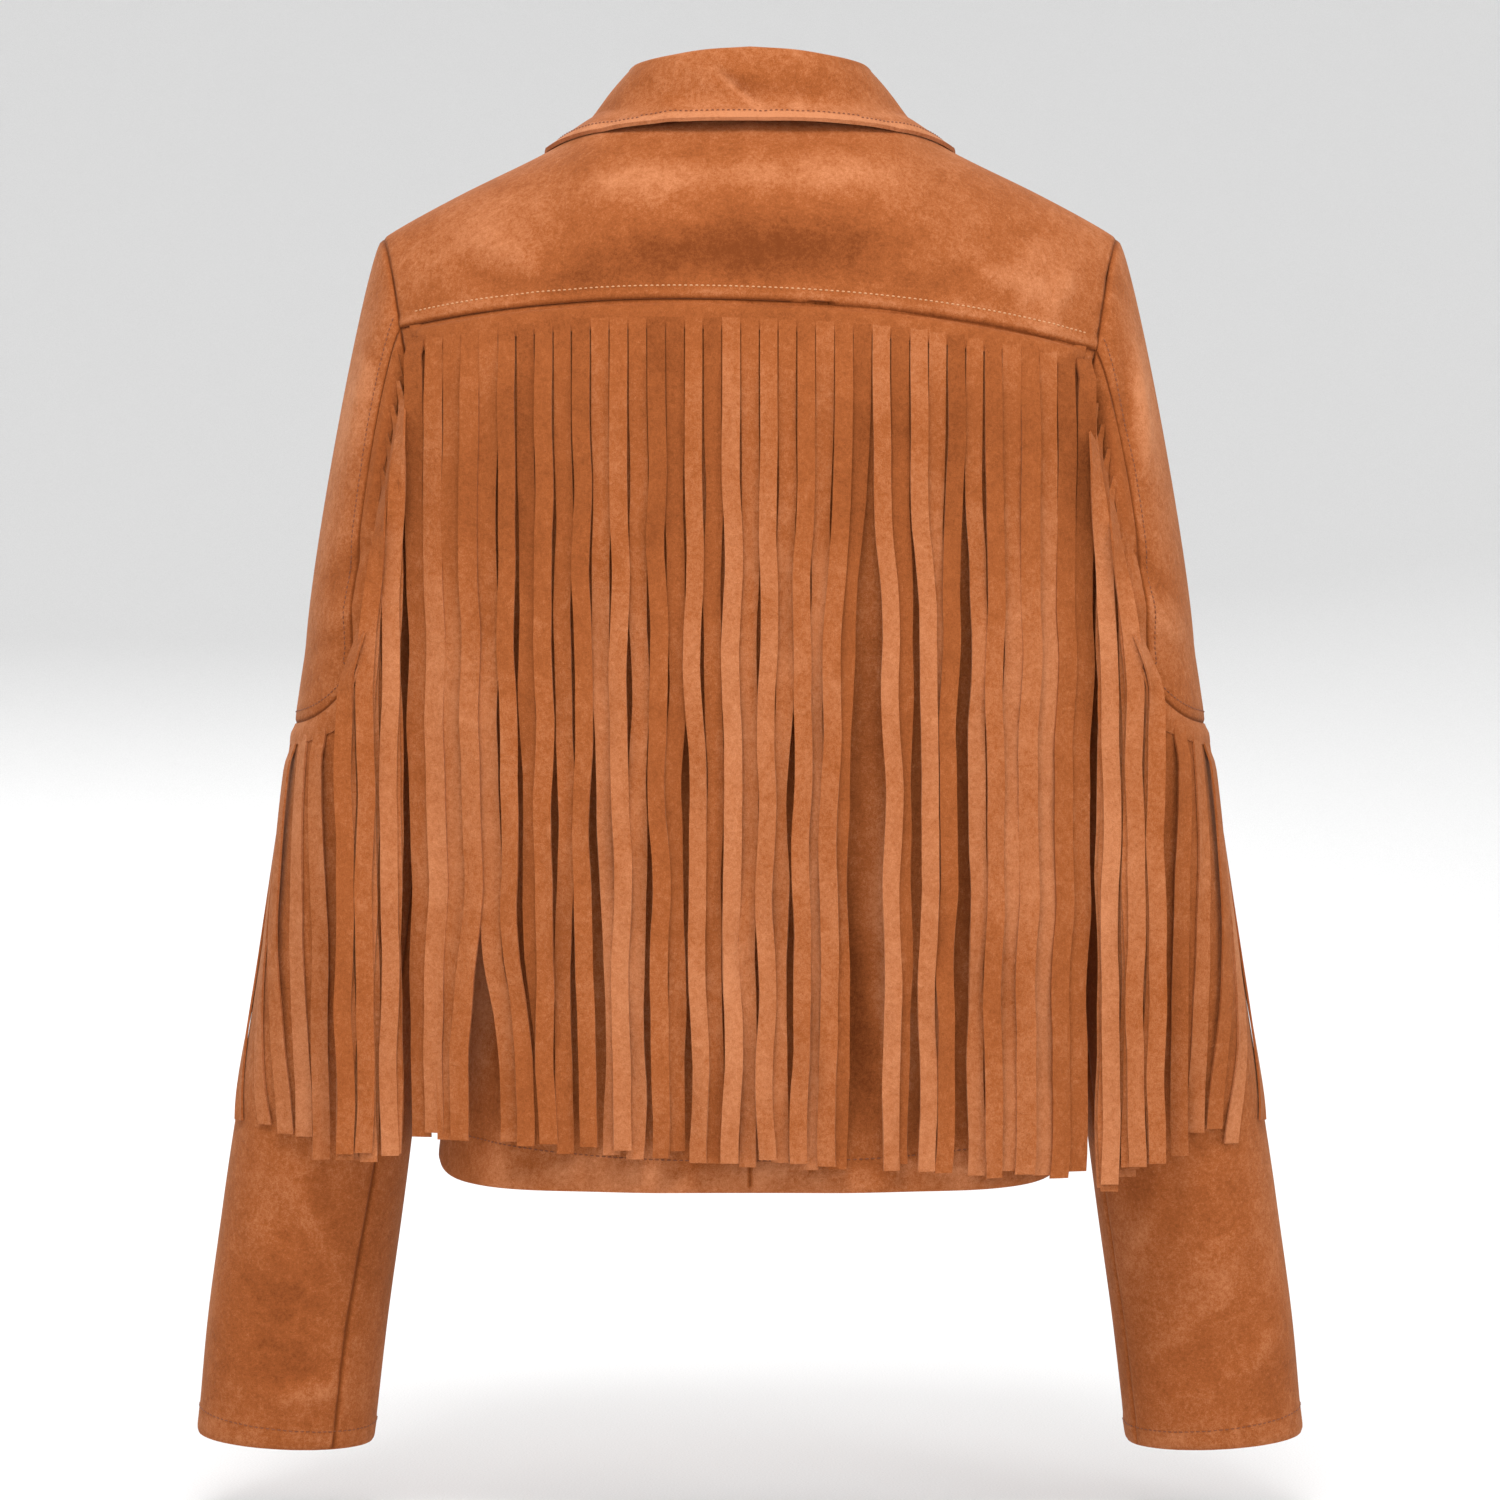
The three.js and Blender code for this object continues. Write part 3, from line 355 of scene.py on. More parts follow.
def curve(rows, key, column):
    """Reads a table as a smooth curve that never overshoots."""
    rows = sorted(rows, key=lambda row: row[key])
    xs = np.array([row[key] for row in rows], float)
    ys = np.array([row[column] for row in rows], float)
    step = np.diff(xs)
    slopes = np.diff(ys) / step
    tangents = np.concatenate([slopes[:1], slopes])
    for i in range(1, len(xs) - 1):
        a, b = slopes[i - 1], slopes[i]
        tangents[i] = 0 if a * b <= 0 else 2 * a * b / (a + b)

    def read(x):
        at = np.clip(x, xs[0], xs[-1])
        i = np.clip(np.searchsorted(xs, at) - 1, 0, len(xs) - 2)
        s = (at - xs[i]) / step[i]
        s2, s3 = s * s, s * s * s
        ends = ys[i] * (2 * s3 - 3 * s2 + 1) + ys[i + 1] * (3 * s2 - 2 * s3)
        return ends + step[i] * (tangents[i] * (s3 - 2 * s2 + s) + tangents[i + 1] * (s3 - s2))

    return read


def lerp(a, b, s):
    return a + (b - a) * s


def bell(x, width):
    return np.exp(-((x / width) ** 2))


def smoothstep(x, low, high):
    s = np.clip((x - low) / (high - low), 0, 1)
    return s * s * (3 - 2 * s)


def stack(x, y, z):
    return np.stack(np.broadcast_arrays(x, y, z), -1).astype(float)


def unit(v):
    return v / np.maximum(np.linalg.norm(v, axis=-1, keepdims=True), 1e-12)


def interpolate(where, at, rows):
    return np.stack([np.interp(where, at, rows[:, k]) for k in range(3)], -1)


def lengths_along(points):
    return np.concatenate([[0], np.cumsum(np.linalg.norm(np.diff(points, axis=0), axis=1))])


def resample(points, shares):
    """Points of a line at shares of its length."""
    at = lengths_along(points)
    return interpolate(np.asarray(shares) * at[-1], at, points)


# Torso surface.
half_width = curve(TORSO, "z", "width")
depth_of = {BACK: curve(TORSO, "z", "back"), FRONT: curve(TORSO, "z", "front")}
shoulder_z = curve(SHOULDER_LINE, "x", "z")


def rounding(face, x, z):
    s = np.clip((shoulder_z(x) - z) / SHOULDER_ROUND[face], 0, 1)
    return np.sqrt(1 - (1 - s) ** 2)


def back_fold(x, z):
    total = 0
    for f in BACK_FOLDS:
        across = bell(x - f["x"], f["half_width"])
        total = total + f["height"] * across * smoothstep(-z, -f["top"], -f["end"])
    return total


def torso_y(face, x, z):
    share = np.minimum(np.abs(x) / half_width(z), 1)
    across = (1 - share**SECTION_POWER) ** (1 / SECTION_POWER)
    fold = back_fold(x, z) * across if face == BACK else 0
    return SHOULDER_Y + face * (depth_of[face](z) * across * rounding(face, np.abs(x), z) + fold)


def torso_measure(p):
    x, y, z = p[..., 0], p[..., 1], p[..., 2]
    share = np.minimum(np.abs(x) / half_width(z), 0.98)
    across = (1 - share**SECTION_POWER) ** (1 / SECTION_POWER)
    values = []
    for face in (BACK, FRONT):
        over = np.maximum(0, 1 - (shoulder_z(np.abs(x)) - z) / SHOULDER_ROUND[face])
        values.append(np.hypot((y - SHOULDER_Y) / (depth_of[face](z) * across), over) - 1)
    return np.where(y > SHOULDER_Y, values[0], values[1])


def torso_distance(p):
    e = 0.5
    value = torso_measure(p)
    slope = np.stack(
        [torso_measure(p + e * axis) - torso_measure(p - e * axis) for axis in np.eye(3)], -1
    ) / (2 * e)
    return value / np.linalg.norm(slope, axis=-1), unit(slope)


def pushed_off(p, clearance):
    for _ in range(4):
        distance, direction = torso_distance(p)
        p = p + direction * np.maximum(clearance - distance, 0)[..., None]
    return p


def armhole(turn):
    turn = np.mod(np.asarray(turn, float), 1)
    back = turn <= UNDERARM
    angle = turn * 2 * np.pi
    z = ARMHOLE["z"] + ARMHOLE["half_height"] * np.cos(angle)
    reach = np.abs(np.sin(angle)) * np.where(back, ARMHOLE["back"], ARMHOLE["front"])
    low, high = np.zeros_like(z), half_width(z)
    for _ in range(45):
        x = (low + high) / 2
        across = (1 - (x / half_width(z)) ** SECTION_POWER) ** (1 / SECTION_POWER)
        y = np.where(
            back,
            depth_of[BACK](z) * rounding(BACK, x, z),
            depth_of[FRONT](z) * rounding(FRONT, x, z),
        )
        inside = y * across > reach
        low, high = np.where(inside, x, low), np.where(inside, high, x)
    return stack(low, SHOULDER_Y + np.where(back, 1, -1) * reach, z)


def armhole_turn(z):
    return np.arccos((z - ARMHOLE["z"]) / ARMHOLE["half_height"]) / (2 * np.pi)


def yoke_z(x):
    return YOKE["z"] + YOKE["lean"] * x + YOKE["drop"] * (np.abs(x) / YOKE["reach"]) ** YOKE["power"]


def hem_z(x):
    share = np.minimum(np.abs(x) / half_width(HEM_Z), 1)
    return HEM_Z + (HEM_SIDE_Z - HEM_Z) * share**HEM_ROUND


YOKE_TURN = {hand: float(armhole_turn(yoke_z(hand * YOKE["reach"]))) for hand in (LEFT, RIGHT)}


def torso_row(face, start, end, middle_z, power, shares):
    s = np.linspace(0, 1, 121)
    z = lerp(middle_z, end[2], s**power)
    width = half_width(z)

    def turn(x):
        return np.arcsin(np.minimum(1, x / width) ** (SECTION_POWER / 2))

    x = width * np.sin(lerp(turn(start), turn(end[0]), s)) ** (2 / SECTION_POWER)
    points = stack(x, torso_y(face, x, z), z)
    points[-1] = end
    return resample(points, shares)


def neck_z(face, x):
    middle, power = NECK_Z[face]
    return lerp(middle, NECK_POINT_Z, (x / NECK_HALF_WIDTH) ** power)


def neck_line(face, shares):
    start = 0 if face == BACK else FRONT_EDGE[0]
    x = lerp(start, NECK_HALF_WIDTH, np.sin(np.linspace(0, 1, 161) * np.pi / 2))
    z = neck_z(face, x)
    return resample(stack(x, torso_y(face, x, np.minimum(z, shoulder_z(x))), z), shares)


NECK_SHARE = 0.4


def top_row(face, shares):
    tip = armhole(0.0)
    neck = neck_line(face, np.minimum(shares / NECK_SHARE, 1))
    x = lerp(NECK_HALF_WIDTH, tip[0], np.clip((shares - NECK_SHARE) / (1 - NECK_SHARE), 0, 1))
    shoulder = stack(x, SHOULDER_Y, shoulder_z(x))
    row = np.where((shares < NECK_SHARE)[:, None], neck, shoulder)
    row[-1] = tip
    return row


def upper_block(face, base, turns, shares):
    top = top_row(face, shares)
    pull = shares**3
    rows = []
    for i, turn in enumerate(turns):
        s = (turn - turns[0]) / (turns[-1] - turns[0])
        rim = armhole(turn)
        if i == 0:
            rows.append(top)
        elif i == len(turns) - 1:
            rows.append(base)
        else:
            x = lerp(top[:, 0], base[:, 0], s * s)
            z = lerp(top[:, 2], base[:, 2], s * s)
            x = x + pull * (rim[0] - x[-1])
            z = z + pull * (rim[2] - z[-1])
            row = stack(x, torso_y(face, x, z), z)
            row[-1] = rim
            rows.append(row)
    return np.array(rows)


def lower_block(face, base, turns, side_z, shares):
    ends = [armhole(turn) for turn in turns[1:]]
    ends += [np.array([half_width(z), SHOULDER_Y, z]) for z in side_z[1:]]
    first = base[-1][2]
    rows = [base]
    for end in ends:
        s = (end[2] - first) / (HEM_SIDE_Z - first)
        start = 0 if face == BACK else lerp(*FRONT_EDGE, s)
        power = lerp(2, HEM_POWER, s)
        rows.append(torso_row(face, start, end, lerp(base[0][2], HEM_Z, s), power, shares))
    return np.array(rows)


def stops(low, high, spacing, length, edges=(1, 1)):
    """Shares of a span, closer together near the seams at its ends."""
    near = [0.7, 1.8, 3.6]
    inner = np.linspace(0, 1, max(2, round(length / spacing)) + 1)
    extra = [d / length for d in near] if edges[0] else []
    extra += [1 - d / length for d in near] if edges[1] else []
    reach = 6 / length
    low_end, high_end = reach * edges[0], 1 - reach * edges[1]
    keep = [s for s in inner if s in (0, 1) or low_end <= s <= high_end]
    return lerp(low, high, np.array(sorted(keep + extra)))


def torso_blocks(hand):
    yoke_turn = YOKE_TURN[hand]
    yoke_end = armhole(yoke_turn)
    shares = stops(0, 1, *NET["across"])
    x = np.linspace(0, yoke_end[0], 161)
    z = yoke_z(hand * x) + (yoke_end[2] - yoke_z(hand * yoke_end[0])) * (x / yoke_end[0]) ** 2
    yoke_row = resample(stack(x, torso_y(BACK, x, z), z), shares)
    chest_row = torso_row(FRONT, FRONT_EDGE[0], armhole(FRONT_SEAM), CHEST_ROW_Z, 2, shares)
    side = stops(UNDERARM_Z, HEM_SIDE_Z, *NET["side"], (0, 1))
    down = stops(yoke_turn, UNDERARM, *NET["below_yoke"], (1, 0))
    under = stops(FRONT_SEAM, UNDERARM, *NET["under_front"], (0, 0))
    front_top = stops(1, FRONT_SEAM, *NET["front_top"], (1, 0))
    return dict(
        yoke=upper_block(BACK, yoke_row, stops(0, yoke_turn, *NET["yoke"]), shares),
        back=lower_block(BACK, yoke_row, down, side, shares),
        front_top=upper_block(FRONT, chest_row, front_top, shares),
        front=lower_block(FRONT, chest_row, under, side, shares),
    )


# Sleeve surface, on the wearer's left.
sleeve_curve = {name: curve(SLEEVE, "z", name) for name in ("x", "y", "width", "depth")}
BICEPS_Z, CUFF_Z = SLEEVE[0]["z"], SLEEVE[-1]["z"]
# The length of the upper or the lower sleeve, in turns round it.
LENGTH_TO_TURN = 1.3


def sleeve_fold(turn, t):
    total = 0
    for f in SLEEVE_FOLDS:
        near = np.mod(turn - f["turn"] + 0.5, 1) - 0.5
        total = total + f["height"] * np.exp(
            -((near / f["half_width"]) ** 2) - ((t - f["t"]) / f["length"]) ** 2
        )
    return total


def sleeve_centre(z):
    return stack(sleeve_curve["x"](z), sleeve_curve["y"](z), z)


def sleeve_frame(z):
    along = unit(sleeve_centre(z - 15) - sleeve_centre(z + 15))
    across = unit(np.array([1.0, 0, 0]) - along * along[..., :1])
    return along, across, np.cross(across, along)


def sleeve_ring(turn, s):
    z = lerp(BICEPS_Z, CUFF_Z, s)
    _, across, back = sleeve_frame(z)
    angle = turn * 2 * np.pi
    swell = sleeve_fold(turn, 1 + s) + sleeve_relief(turn, 1 + s)
    out = ((sleeve_curve["width"](z) + swell) * np.cos(angle))[..., None]
    behind = ((sleeve_curve["depth"](z) + swell) * np.sin(angle))[..., None]
    return sleeve_centre(z) + across * out + back * behind


def mixed_cap(turn, name):
    c = np.cos(turn * 2 * np.pi)
    end = np.where(c > 0, CAP_TOP[name], CAP_UNDER[name])
    return lerp(CAP_SIDE[name], end, np.abs(c) ** 1.5)


def sleeve_point(turn, t):
    turn, t = np.broadcast_arrays(np.asarray(turn, float), np.asarray(t, float))
    ring = sleeve_ring(turn, np.maximum(t - 1, 0))
    low = np.minimum(t, 1)[..., None]
    start = armhole(turn)
    side = np.sin(turn * 2 * np.pi) * 0.2
    leaving = unit(stack(mixed_cap(turn, "out"), side, -mixed_cap(turn, "down")))
    leaving = leaving * mixed_cap(turn, "start")[..., None]
    along = sleeve_frame(np.array(float(BICEPS_Z)))[0]
    arriving = along * mixed_cap(turn, "end")[..., None]
    t2, t3 = low * low, low**3
    cap = start * (2 * t3 - 3 * t2 + 1) + sleeve_ring(turn, np.zeros_like(t)) * (3 * t2 - 2 * t3)
    cap = cap + leaving * (t3 - 2 * t2 + low) + arriving * (t3 - t2)
    return np.where((t >= 1)[..., None], ring, cap)


def fringe_seam_t(turn):
    share = np.maximum(0, turn) / FRINGE_SEAM["elbow_turn"]
    drop = FRINGE_SEAM["elbow_t"] - FRINGE_SEAM["corner_t"]
    return FRINGE_SEAM["elbow_t"] - drop * share ** FRINGE_SEAM["power"]


def fringe_seam_turn(hand, t):
    return lerp(YOKE_TURN[hand], FRINGE_SEAM["elbow_turn"], np.minimum(1, t / FRINGE_SEAM["corner_t"]))


def under_seam_turn(hand, t):
    return lerp(*UNDER_SEAM[hand], smoothstep(t, 0.8, 2))


def sleeve_relief(turn, t):
    total = np.zeros(np.broadcast(turn, t).shape)
    for c in SLEEVE_CREASES:
        middle = (c["turn0"] + c["turn1"]) / 2
        near = np.mod(turn - middle + 0.5, 1) - 0.5 + middle
        ends = c["turn0"], c["t0"] * LENGTH_TO_TURN, c["turn1"], c["t1"] * LENGTH_TO_TURN
        side, share = across_line(near, t * LENGTH_TO_TURN, *ends)
        fade = np.exp(-(((share - 0.5) / 0.42) ** 4))
        total = total + c["height"] * fade * bell(side, c["half_width"])
    return total * smoothstep(t, 1.0, 1.1)


def sleeve_blocks(hand):
    front = FRONT_SEAM - 1
    elbow_turn, corner = FRINGE_SEAM["elbow_turn"], FRINGE_SEAM["corner_t"]
    cap_stops = stops(front, YOKE_TURN[hand], *NET["cap"])
    elbow, forearm, across, under = [stops(0, 1, *NET[k]) for k in ("elbow", "forearm", "strip", "under")]

    def reach(stop, to):
        return lerp(front, to, (stop - front) / (YOKE_TURN[hand] - front))

    def heights(low):
        return np.concatenate([elbow * low, lerp(low, 2, forearm[1:])])

    turn = reach(cap_stops[None, :], fringe_seam_turn(hand, elbow * corner)[:, None])
    low = fringe_seam_t(reach(cap_stops, elbow_turn))[None, :]
    cap = sleeve_point(turn, elbow[:, None] * low)
    turn = reach(cap_stops, elbow_turn)[None, :]
    lower = sleeve_point(turn, lerp(fringe_seam_t(turn), 2, forearm[:, None]))
    t = heights(corner)[:, None]
    strip = sleeve_point(lerp(fringe_seam_turn(hand, t), under_seam_turn(hand, t), across[None, :]), t)
    t = lerp(heights(corner)[:, None], heights(FRINGE_SEAM["elbow_t"])[:, None], under[None, :])
    inner = sleeve_point(lerp(under_seam_turn(hand, t), FRONT_SEAM, under[None, :]), t)
    return dict(cap=cap, lower=lower, strip=strip, under=inner)


def across_line(u, v, u0, v0, u1, v1):
    """Distance from a segment, and the share along it, in a plane."""
    length = math.hypot(u1 - u0, v1 - v0)
    du, dv = (u1 - u0) / length, (v1 - v0) / length
    return (v - v0) * du - (u - u0) * dv, ((u - u0) * du + (v - v0) * dv) / length


def behind_middle(points):
    """How far points lie behind the middle of the body, or of the arm below the elbow."""
    x, y, z = points.T
    on_arm = (np.abs(x) > half_width(z) + 4) & (z < BICEPS_Z)
    return y - np.where(on_arm, sleeve_curve["y"](z), SHOULDER_Y)


def fold_relief(points):
    """How far the cloth of the body stands out at its creases. The sleeves have their own."""
    x, z, behind = points[:, 0], points[:, 2], behind_middle(points)
    total = np.zeros(len(points))
    for c in BODY_CREASES:
        side, share = across_line(x, z, c["x0"], c["z0"], c["x1"], c["z1"])
        fade = np.exp(-(((share - 0.5) / 0.46) ** 4))
        on = behind * c["face"] > 0
        place = 1
        if abs(c["x0"]) > SLEEVE_FROM:
            place = smoothstep(np.abs(x), *SLEEVE_FADE)
        elif abs(c["x0"]) < BODY_TO:
            place = 1 - smoothstep(np.abs(x), *BODY_FADE)
        total += on * place * c["height"] * fade * bell(side, c["half_width"])
    return total * np.clip((np.abs(behind) - SIDE_CLEAR) / SIDE_FADE, 0, 1)


# Panels as meshes.
def mirrored(grid):
    return grid * np.array([-1.0, 1, 1])


def faces_of(blocks, middle):
    """One net of quads from grids of points that share their edges, facing away from the middle."""
    index, points, quads = {}, [], []
    for block in blocks:
        a, b, c = block[0][1], block[0][2], block[1][1]
        facing = np.dot(np.cross(b - a, c - a), a - middle(a))
        rows, columns = block.shape[:2]
        ids = np.empty((rows, columns), int)
        for i, row in enumerate(np.round(block * 1e3).astype(int).tolist()):
            for j, p in enumerate(row):
                k = tuple(p)
                if k not in index:
                    index[k] = len(points)
                    points.append(block[i][j])
                ids[i, j] = index[k]
        quad = np.stack([ids[:-1, :-1], ids[:-1, 1:], ids[1:, 1:], ids[1:, :-1]], -1).reshape(-1, 4)
        quads.append(quad if facing > 0 else quad[:, ::-1])
    return dict(points=np.array(points), quads=np.concatenate(quads), keys=list(index))


def normals_of(panel):
    p, q = panel["points"], panel["quads"]
    face = unit(np.cross(p[q[:, 2]] - p[q[:, 0]], p[q[:, 3]] - p[q[:, 1]]))
    total = np.zeros_like(p)
    for k in range(4):
        np.add.at(total, q[:, k], face)
    return total


def rim_of(quads):
    """The edges that only one quad has."""
    edges = np.stack([quads, np.roll(quads, -1, axis=1)], -1).reshape(-1, 2)
    known = set(map(tuple, edges.tolist()))
    return np.array([e for e in edges.tolist() if (e[1], e[0]) not in known])


def rim_distance(points, rim_points):
    nearest = np.full(len(points), 1e9)
    for start in range(0, len(points), 2000):
        block = points[start : start + 2000, None, :] - rim_points[None, :, :]
        nearest[start : start + 2000] = np.sqrt((block**2).sum(-1).min(1))
    return nearest


def wall(panel, shared, thickness, roll=0.8, relief=None):
    """A closed wall of cloth whose edges roll under at its seams."""
    points, quads = panel["points"], panel["quads"]
    rim = rim_of(quads)
    own = unit(normals_of(panel))
    total = np.array([shared[k] for k in panel["keys"]]) if shared else own
    lean = unit(total)
    normal = lean / np.maximum(MITRE_LIMIT, (lean * own).sum(-1, keepdims=True))
    middle = points + lean * fold_relief(points)[:, None]
    d = rim_distance(points, points[np.unique(rim)])
    dip = roll * bell(d, 1.1) + 0.2 * bell(d, 4.5)
    if relief is not None:
        dip = dip - relief(points)
    outer = middle + normal * (thickness / 2 - dip)[:, None]
    inner = middle - normal * (thickness / 2 - 0.4 * roll * bell(d, 1.2))[:, None]
    n = len(points)
    ends = np.stack([rim[:, 1], rim[:, 0], rim[:, 0] + n, rim[:, 1] + n], -1)
    return np.concatenate([outer, inner]), np.concatenate([quads, quads[:, ::-1] + n, ends])


def torso_middle(p):
    return np.array([0, SHOULDER_Y, p[2] - 60])


def sleeve_middle(hand):
    def middle(p):
        z = np.clip(p[2], CUFF_Z, BICEPS_Z)
        x = sleeve_curve["x"](z) - (25 if p[2] > z else 0)
        return np.array([hand * x, sleeve_curve["y"](z), p[2]])

    return middle


def catmull(points, shares):
    """Centripetal curve through points, at shares of its spans."""
    p = np.array(points, float)
    p = np.concatenate([[2 * p[0] - p[1]], p, [2 * p[-1] - p[-2]]])
    spans = len(p) - 3
    out = []
    for s in np.asarray(shares) * spans:
        i = min(int(s), spans - 1)
        a, b, c, d = p[i : i + 4]
        u = s - i
        t = np.cumsum([0] + [np.linalg.norm(v) ** 0.5 for v in (b - a, c - b, d - c)])
        at = t[1] + (t[2] - t[1]) * u
        a1 = a * (t[1] - at) / (t[1] - t[0]) + b * (at - t[0]) / (t[1] - t[0])
        a2 = b * (t[2] - at) / (t[2] - t[1]) + c * (at - t[1]) / (t[2] - t[1])
        a3 = c * (t[3] - at) / (t[3] - t[2]) + d * (at - t[2]) / (t[3] - t[2])
        b1 = a1 * (t[2] - at) / (t[2] - t[0]) + a2 * (at - t[0]) / (t[2] - t[0])
        b2 = a2 * (t[3] - at) / (t[3] - t[1]) + a3 * (at - t[1]) / (t[3] - t[1])
        out.append(b1 * (t[2] - at) / (t[2] - t[1]) + b2 * (at - t[1]) / (t[2] - t[1]))
    return np.array(out)


def collar_profile(seam, fold, edge):
    """The collar across: a stand from its seam, the fold over, and the fall down to its edge."""
    out = unit((edge - fold) * np.array([1, 1, 0]))
    up = np.array([0, 0, 1.0])
    top = fold + out * COLLAR_FOLD_RADIUS - up * COLLAR_FOLD_RADIUS
    start = seam - out * COLLAR_LIFT * 0.9 + up * COLLAR_LIFT
    flat = np.array([fold[0], fold[1], top[2]])
    s = np.linspace(0, 0.86, 8)[:, None]
    stand = lerp(start, flat, s) - out * np.sin(np.pi * s)
    a = np.radians(np.linspace(180, 15, 12))[:, None]
    over = top + out * COLLAR_FOLD_RADIUS * np.cos(a) + up * COLLAR_FOLD_RADIUS * np.sin(a)
    s = np.linspace(0, 1, FALL_ROWS + 1)[1:, None]
    fall = lerp(over[-1], edge, s) - out * 6 * np.sin(np.pi * s * s)
    return np.concatenate([stand, over, pushed_off(fall, COLLAR_CLEARANCE)])


def collar_block():
    shares = np.linspace(0, 1, 91)
    nape, throat = neck_line(BACK, np.linspace(0, 1, 9)), neck_line(FRONT, np.linspace(1, 0, 9))
    neck = np.concatenate([nape, throat[1:]])
    seam = resample(neck, shares)
    fold = catmull([row["fold"] for row in COLLAR], shares)
    edge = catmull([row["edge"] for row in COLLAR], shares)
    half = np.array([collar_profile(*rows) for rows in zip(seam, fold, edge)])
    return np.concatenate([mirrored(half)[::-1], half[1:]])


# Materials.
def node(tree, kind, **settings):
    """A shader node, with values for its sockets or properties."""
    made = tree.nodes.new(kind)
    for name, value in settings.items():
        if name in made.inputs:
            made.inputs[name].default_value = value
        else:
            setattr(made, name, value)
    return made


def surface(name, roughness):
    """A new material with its tree, its shader and its place in the object's own coordinates."""
    material = bpy.data.materials.new(name)
    material.use_nodes = True
    tree = material.node_tree
    shader = tree.nodes["Principled BSDF"]
    shader.inputs["Roughness"].default_value = roughness
    return material, tree, shader, node(tree, "ShaderNodeTexCoord").outputs["Object"]


def colour_ramp(tree, shader, tone, stops):
    """Colours the shader by a tone, from the first of some (place, colour) stops to the last."""
    ramp = node(tree, "ShaderNodeValToRGB")
    elements = ramp.color_ramp.elements
    for element, (place, colour) in zip(elements, (stops[0], stops[-1])):
        element.position = place
        element.color = (*colour, 1)
    for place, colour in stops[1:-1]:
        elements.new(place).color = (*colour, 1)
    tree.links.new(tone, ramp.inputs["Fac"])
    tree.links.new(ramp.outputs["Color"], shader.inputs["Base Color"])


# The suede's unevenness, from broad patches down to its grain: the noise, and its share of the tone.
NAP = table(
    "scale detail rough distortion weight",
    (15, 2, 0.5, 0.5, 0.26),
    (58, 4, 0.62, 1.1, 0.2),
    (150, 4, 0.65, 0.5, 0.2),
    (520, 3, 0.65, 0.0, 0.32),
    (1900, 2, 0.6, 0.0, 0.36),
)
# Shares of the last three in the relief, and the tones of the dark, middle and light colours.
RELIEF_SHARES = (1.2, 0.6, 0.4)
RAMP_STOPS = (0.26, 0.5, 0.74)


def suede(name, light, mid, dark, contrast=1.0):
    """Brushed microsuede: mottled nap, fine grain and a soft sheen."""
    material, tree, shader, place = surface(name, 0.88)

    def combine(kind, a, b):
        made = node(tree, "ShaderNodeMath", operation=kind)
        for socket, value in zip(made.inputs, (a, b)):
            if isinstance(value, (int, float)):
                socket.default_value = value
            else:
                tree.links.new(value, socket)
        return made.outputs[0]

    noises, tone = [], 0.5
    for row in NAP:
        settings = dict(Scale=row["scale"], Detail=row["detail"], Roughness=row["rough"])
        made = node(tree, "ShaderNodeTexNoise", **settings, Distortion=row["distortion"])
        tree.links.new(place, made.inputs["Vector"])
        noises.append(made.outputs["Fac"])
        share = combine("MULTIPLY", combine("SUBTRACT", noises[-1], 0.5), row["weight"] * contrast)
        tone = combine("ADD", share, tone)
    # The mesh's tone per point, its nap from strand to strand and its painted light and shade, shifts the
    # colours.
    tone_and_painted_light = node(tree, "ShaderNodeAttribute", attribute_name="tone_and_painted_light").outputs["Fac"]
    colour_ramp(tree, shader, combine("ADD", tone, tone_and_painted_light), list(zip(RAMP_STOPS, (dark, mid, light))))

    shader.inputs["Specular IOR Level"].default_value = 0.08
    shader.inputs["Sheen Weight"].default_value = 0.16
    shader.inputs["Sheen Roughness"].default_value = 0.4
    shader.inputs["Sheen Tint"].default_value = (1.0, 0.66, 0.42, 1)
    bump = node(tree, "ShaderNodeBump", Strength=0.8, Distance=0.0007)
    strokes, nap, fine = [combine("MULTIPLY", *pair) for pair in zip(noises[2:], RELIEF_SHARES)]
    tree.links.new(combine("ADD", combine("ADD", nap, fine), strokes), bump.inputs["Height"])
    tree.links.new(bump.outputs["Normal"], shader.inputs["Normal"])
    return material


def plain_fibre(name, colour, roughness=0.6):
    """Spun thread or a pale studio floor, with a faint unevenness."""
    material, tree, shader, place = surface(name, roughness)
    uneven = node(tree, "ShaderNodeTexNoise", Scale=900.0, Detail=2.0)
    tree.links.new(place, uneven.inputs["Vector"])
    ends = [[c * 0.82 for c in colour], [min(1, c * 1.15) for c in colour]]
    colour_ramp(tree, shader, uneven.outputs["Fac"], list(zip((0, 1), ends)))
    return material


LIGHT = (0.53, 0.204, 0.089)
MID = (0.325, 0.09, 0.0235)
DARK = (0.17, 0.041, 0.0085)
CLOTH_LOOK = suede("suede_panels", LIGHT, MID, DARK)
FRINGE_LOOK = suede("suede_fringe", LIGHT, MID, DARK, 0.8)
PALE_THREAD = plain_fibre("pale_thread", (0.58, 0.29, 0.135))
# Real thread, painted darker than the cloth as painted shade in its stitch holes.
SHADED_THREAD = plain_fibre("thread_painted_shade", (0.2, 0.052, 0.012))


# Making pieces. Edges that turn more than this are crisp.
SHARP = math.radians(50)


def make(name, points, faces, material, tone_and_painted_light=None):
    mesh = bpy.data.meshes.new(name)
    mesh.from_pydata((np.asarray(points) * 0.001).tolist(), [], np.asarray(faces).tolist())
    mesh.update()
    mesh.materials.append(material)
    mesh.polygons.foreach_set("use_smooth", [True] * len(mesh.polygons))
    mesh.set_sharp_from_angle(angle=SHARP)
    # Each point's own tone with the painted light and shade, for the suede's shader.
    values = np.zeros(len(points)) if tone_and_painted_light is None else np.asarray(tone_and_painted_light)
    mesh.attributes.new("tone_and_painted_light", "FLOAT", "POINT").data.foreach_set("value", values.tolist())
    piece = bpy.data.objects.new(name, mesh)
    bpy.context.scene.collection.objects.link(piece)
    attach(piece, "root")
    return piece


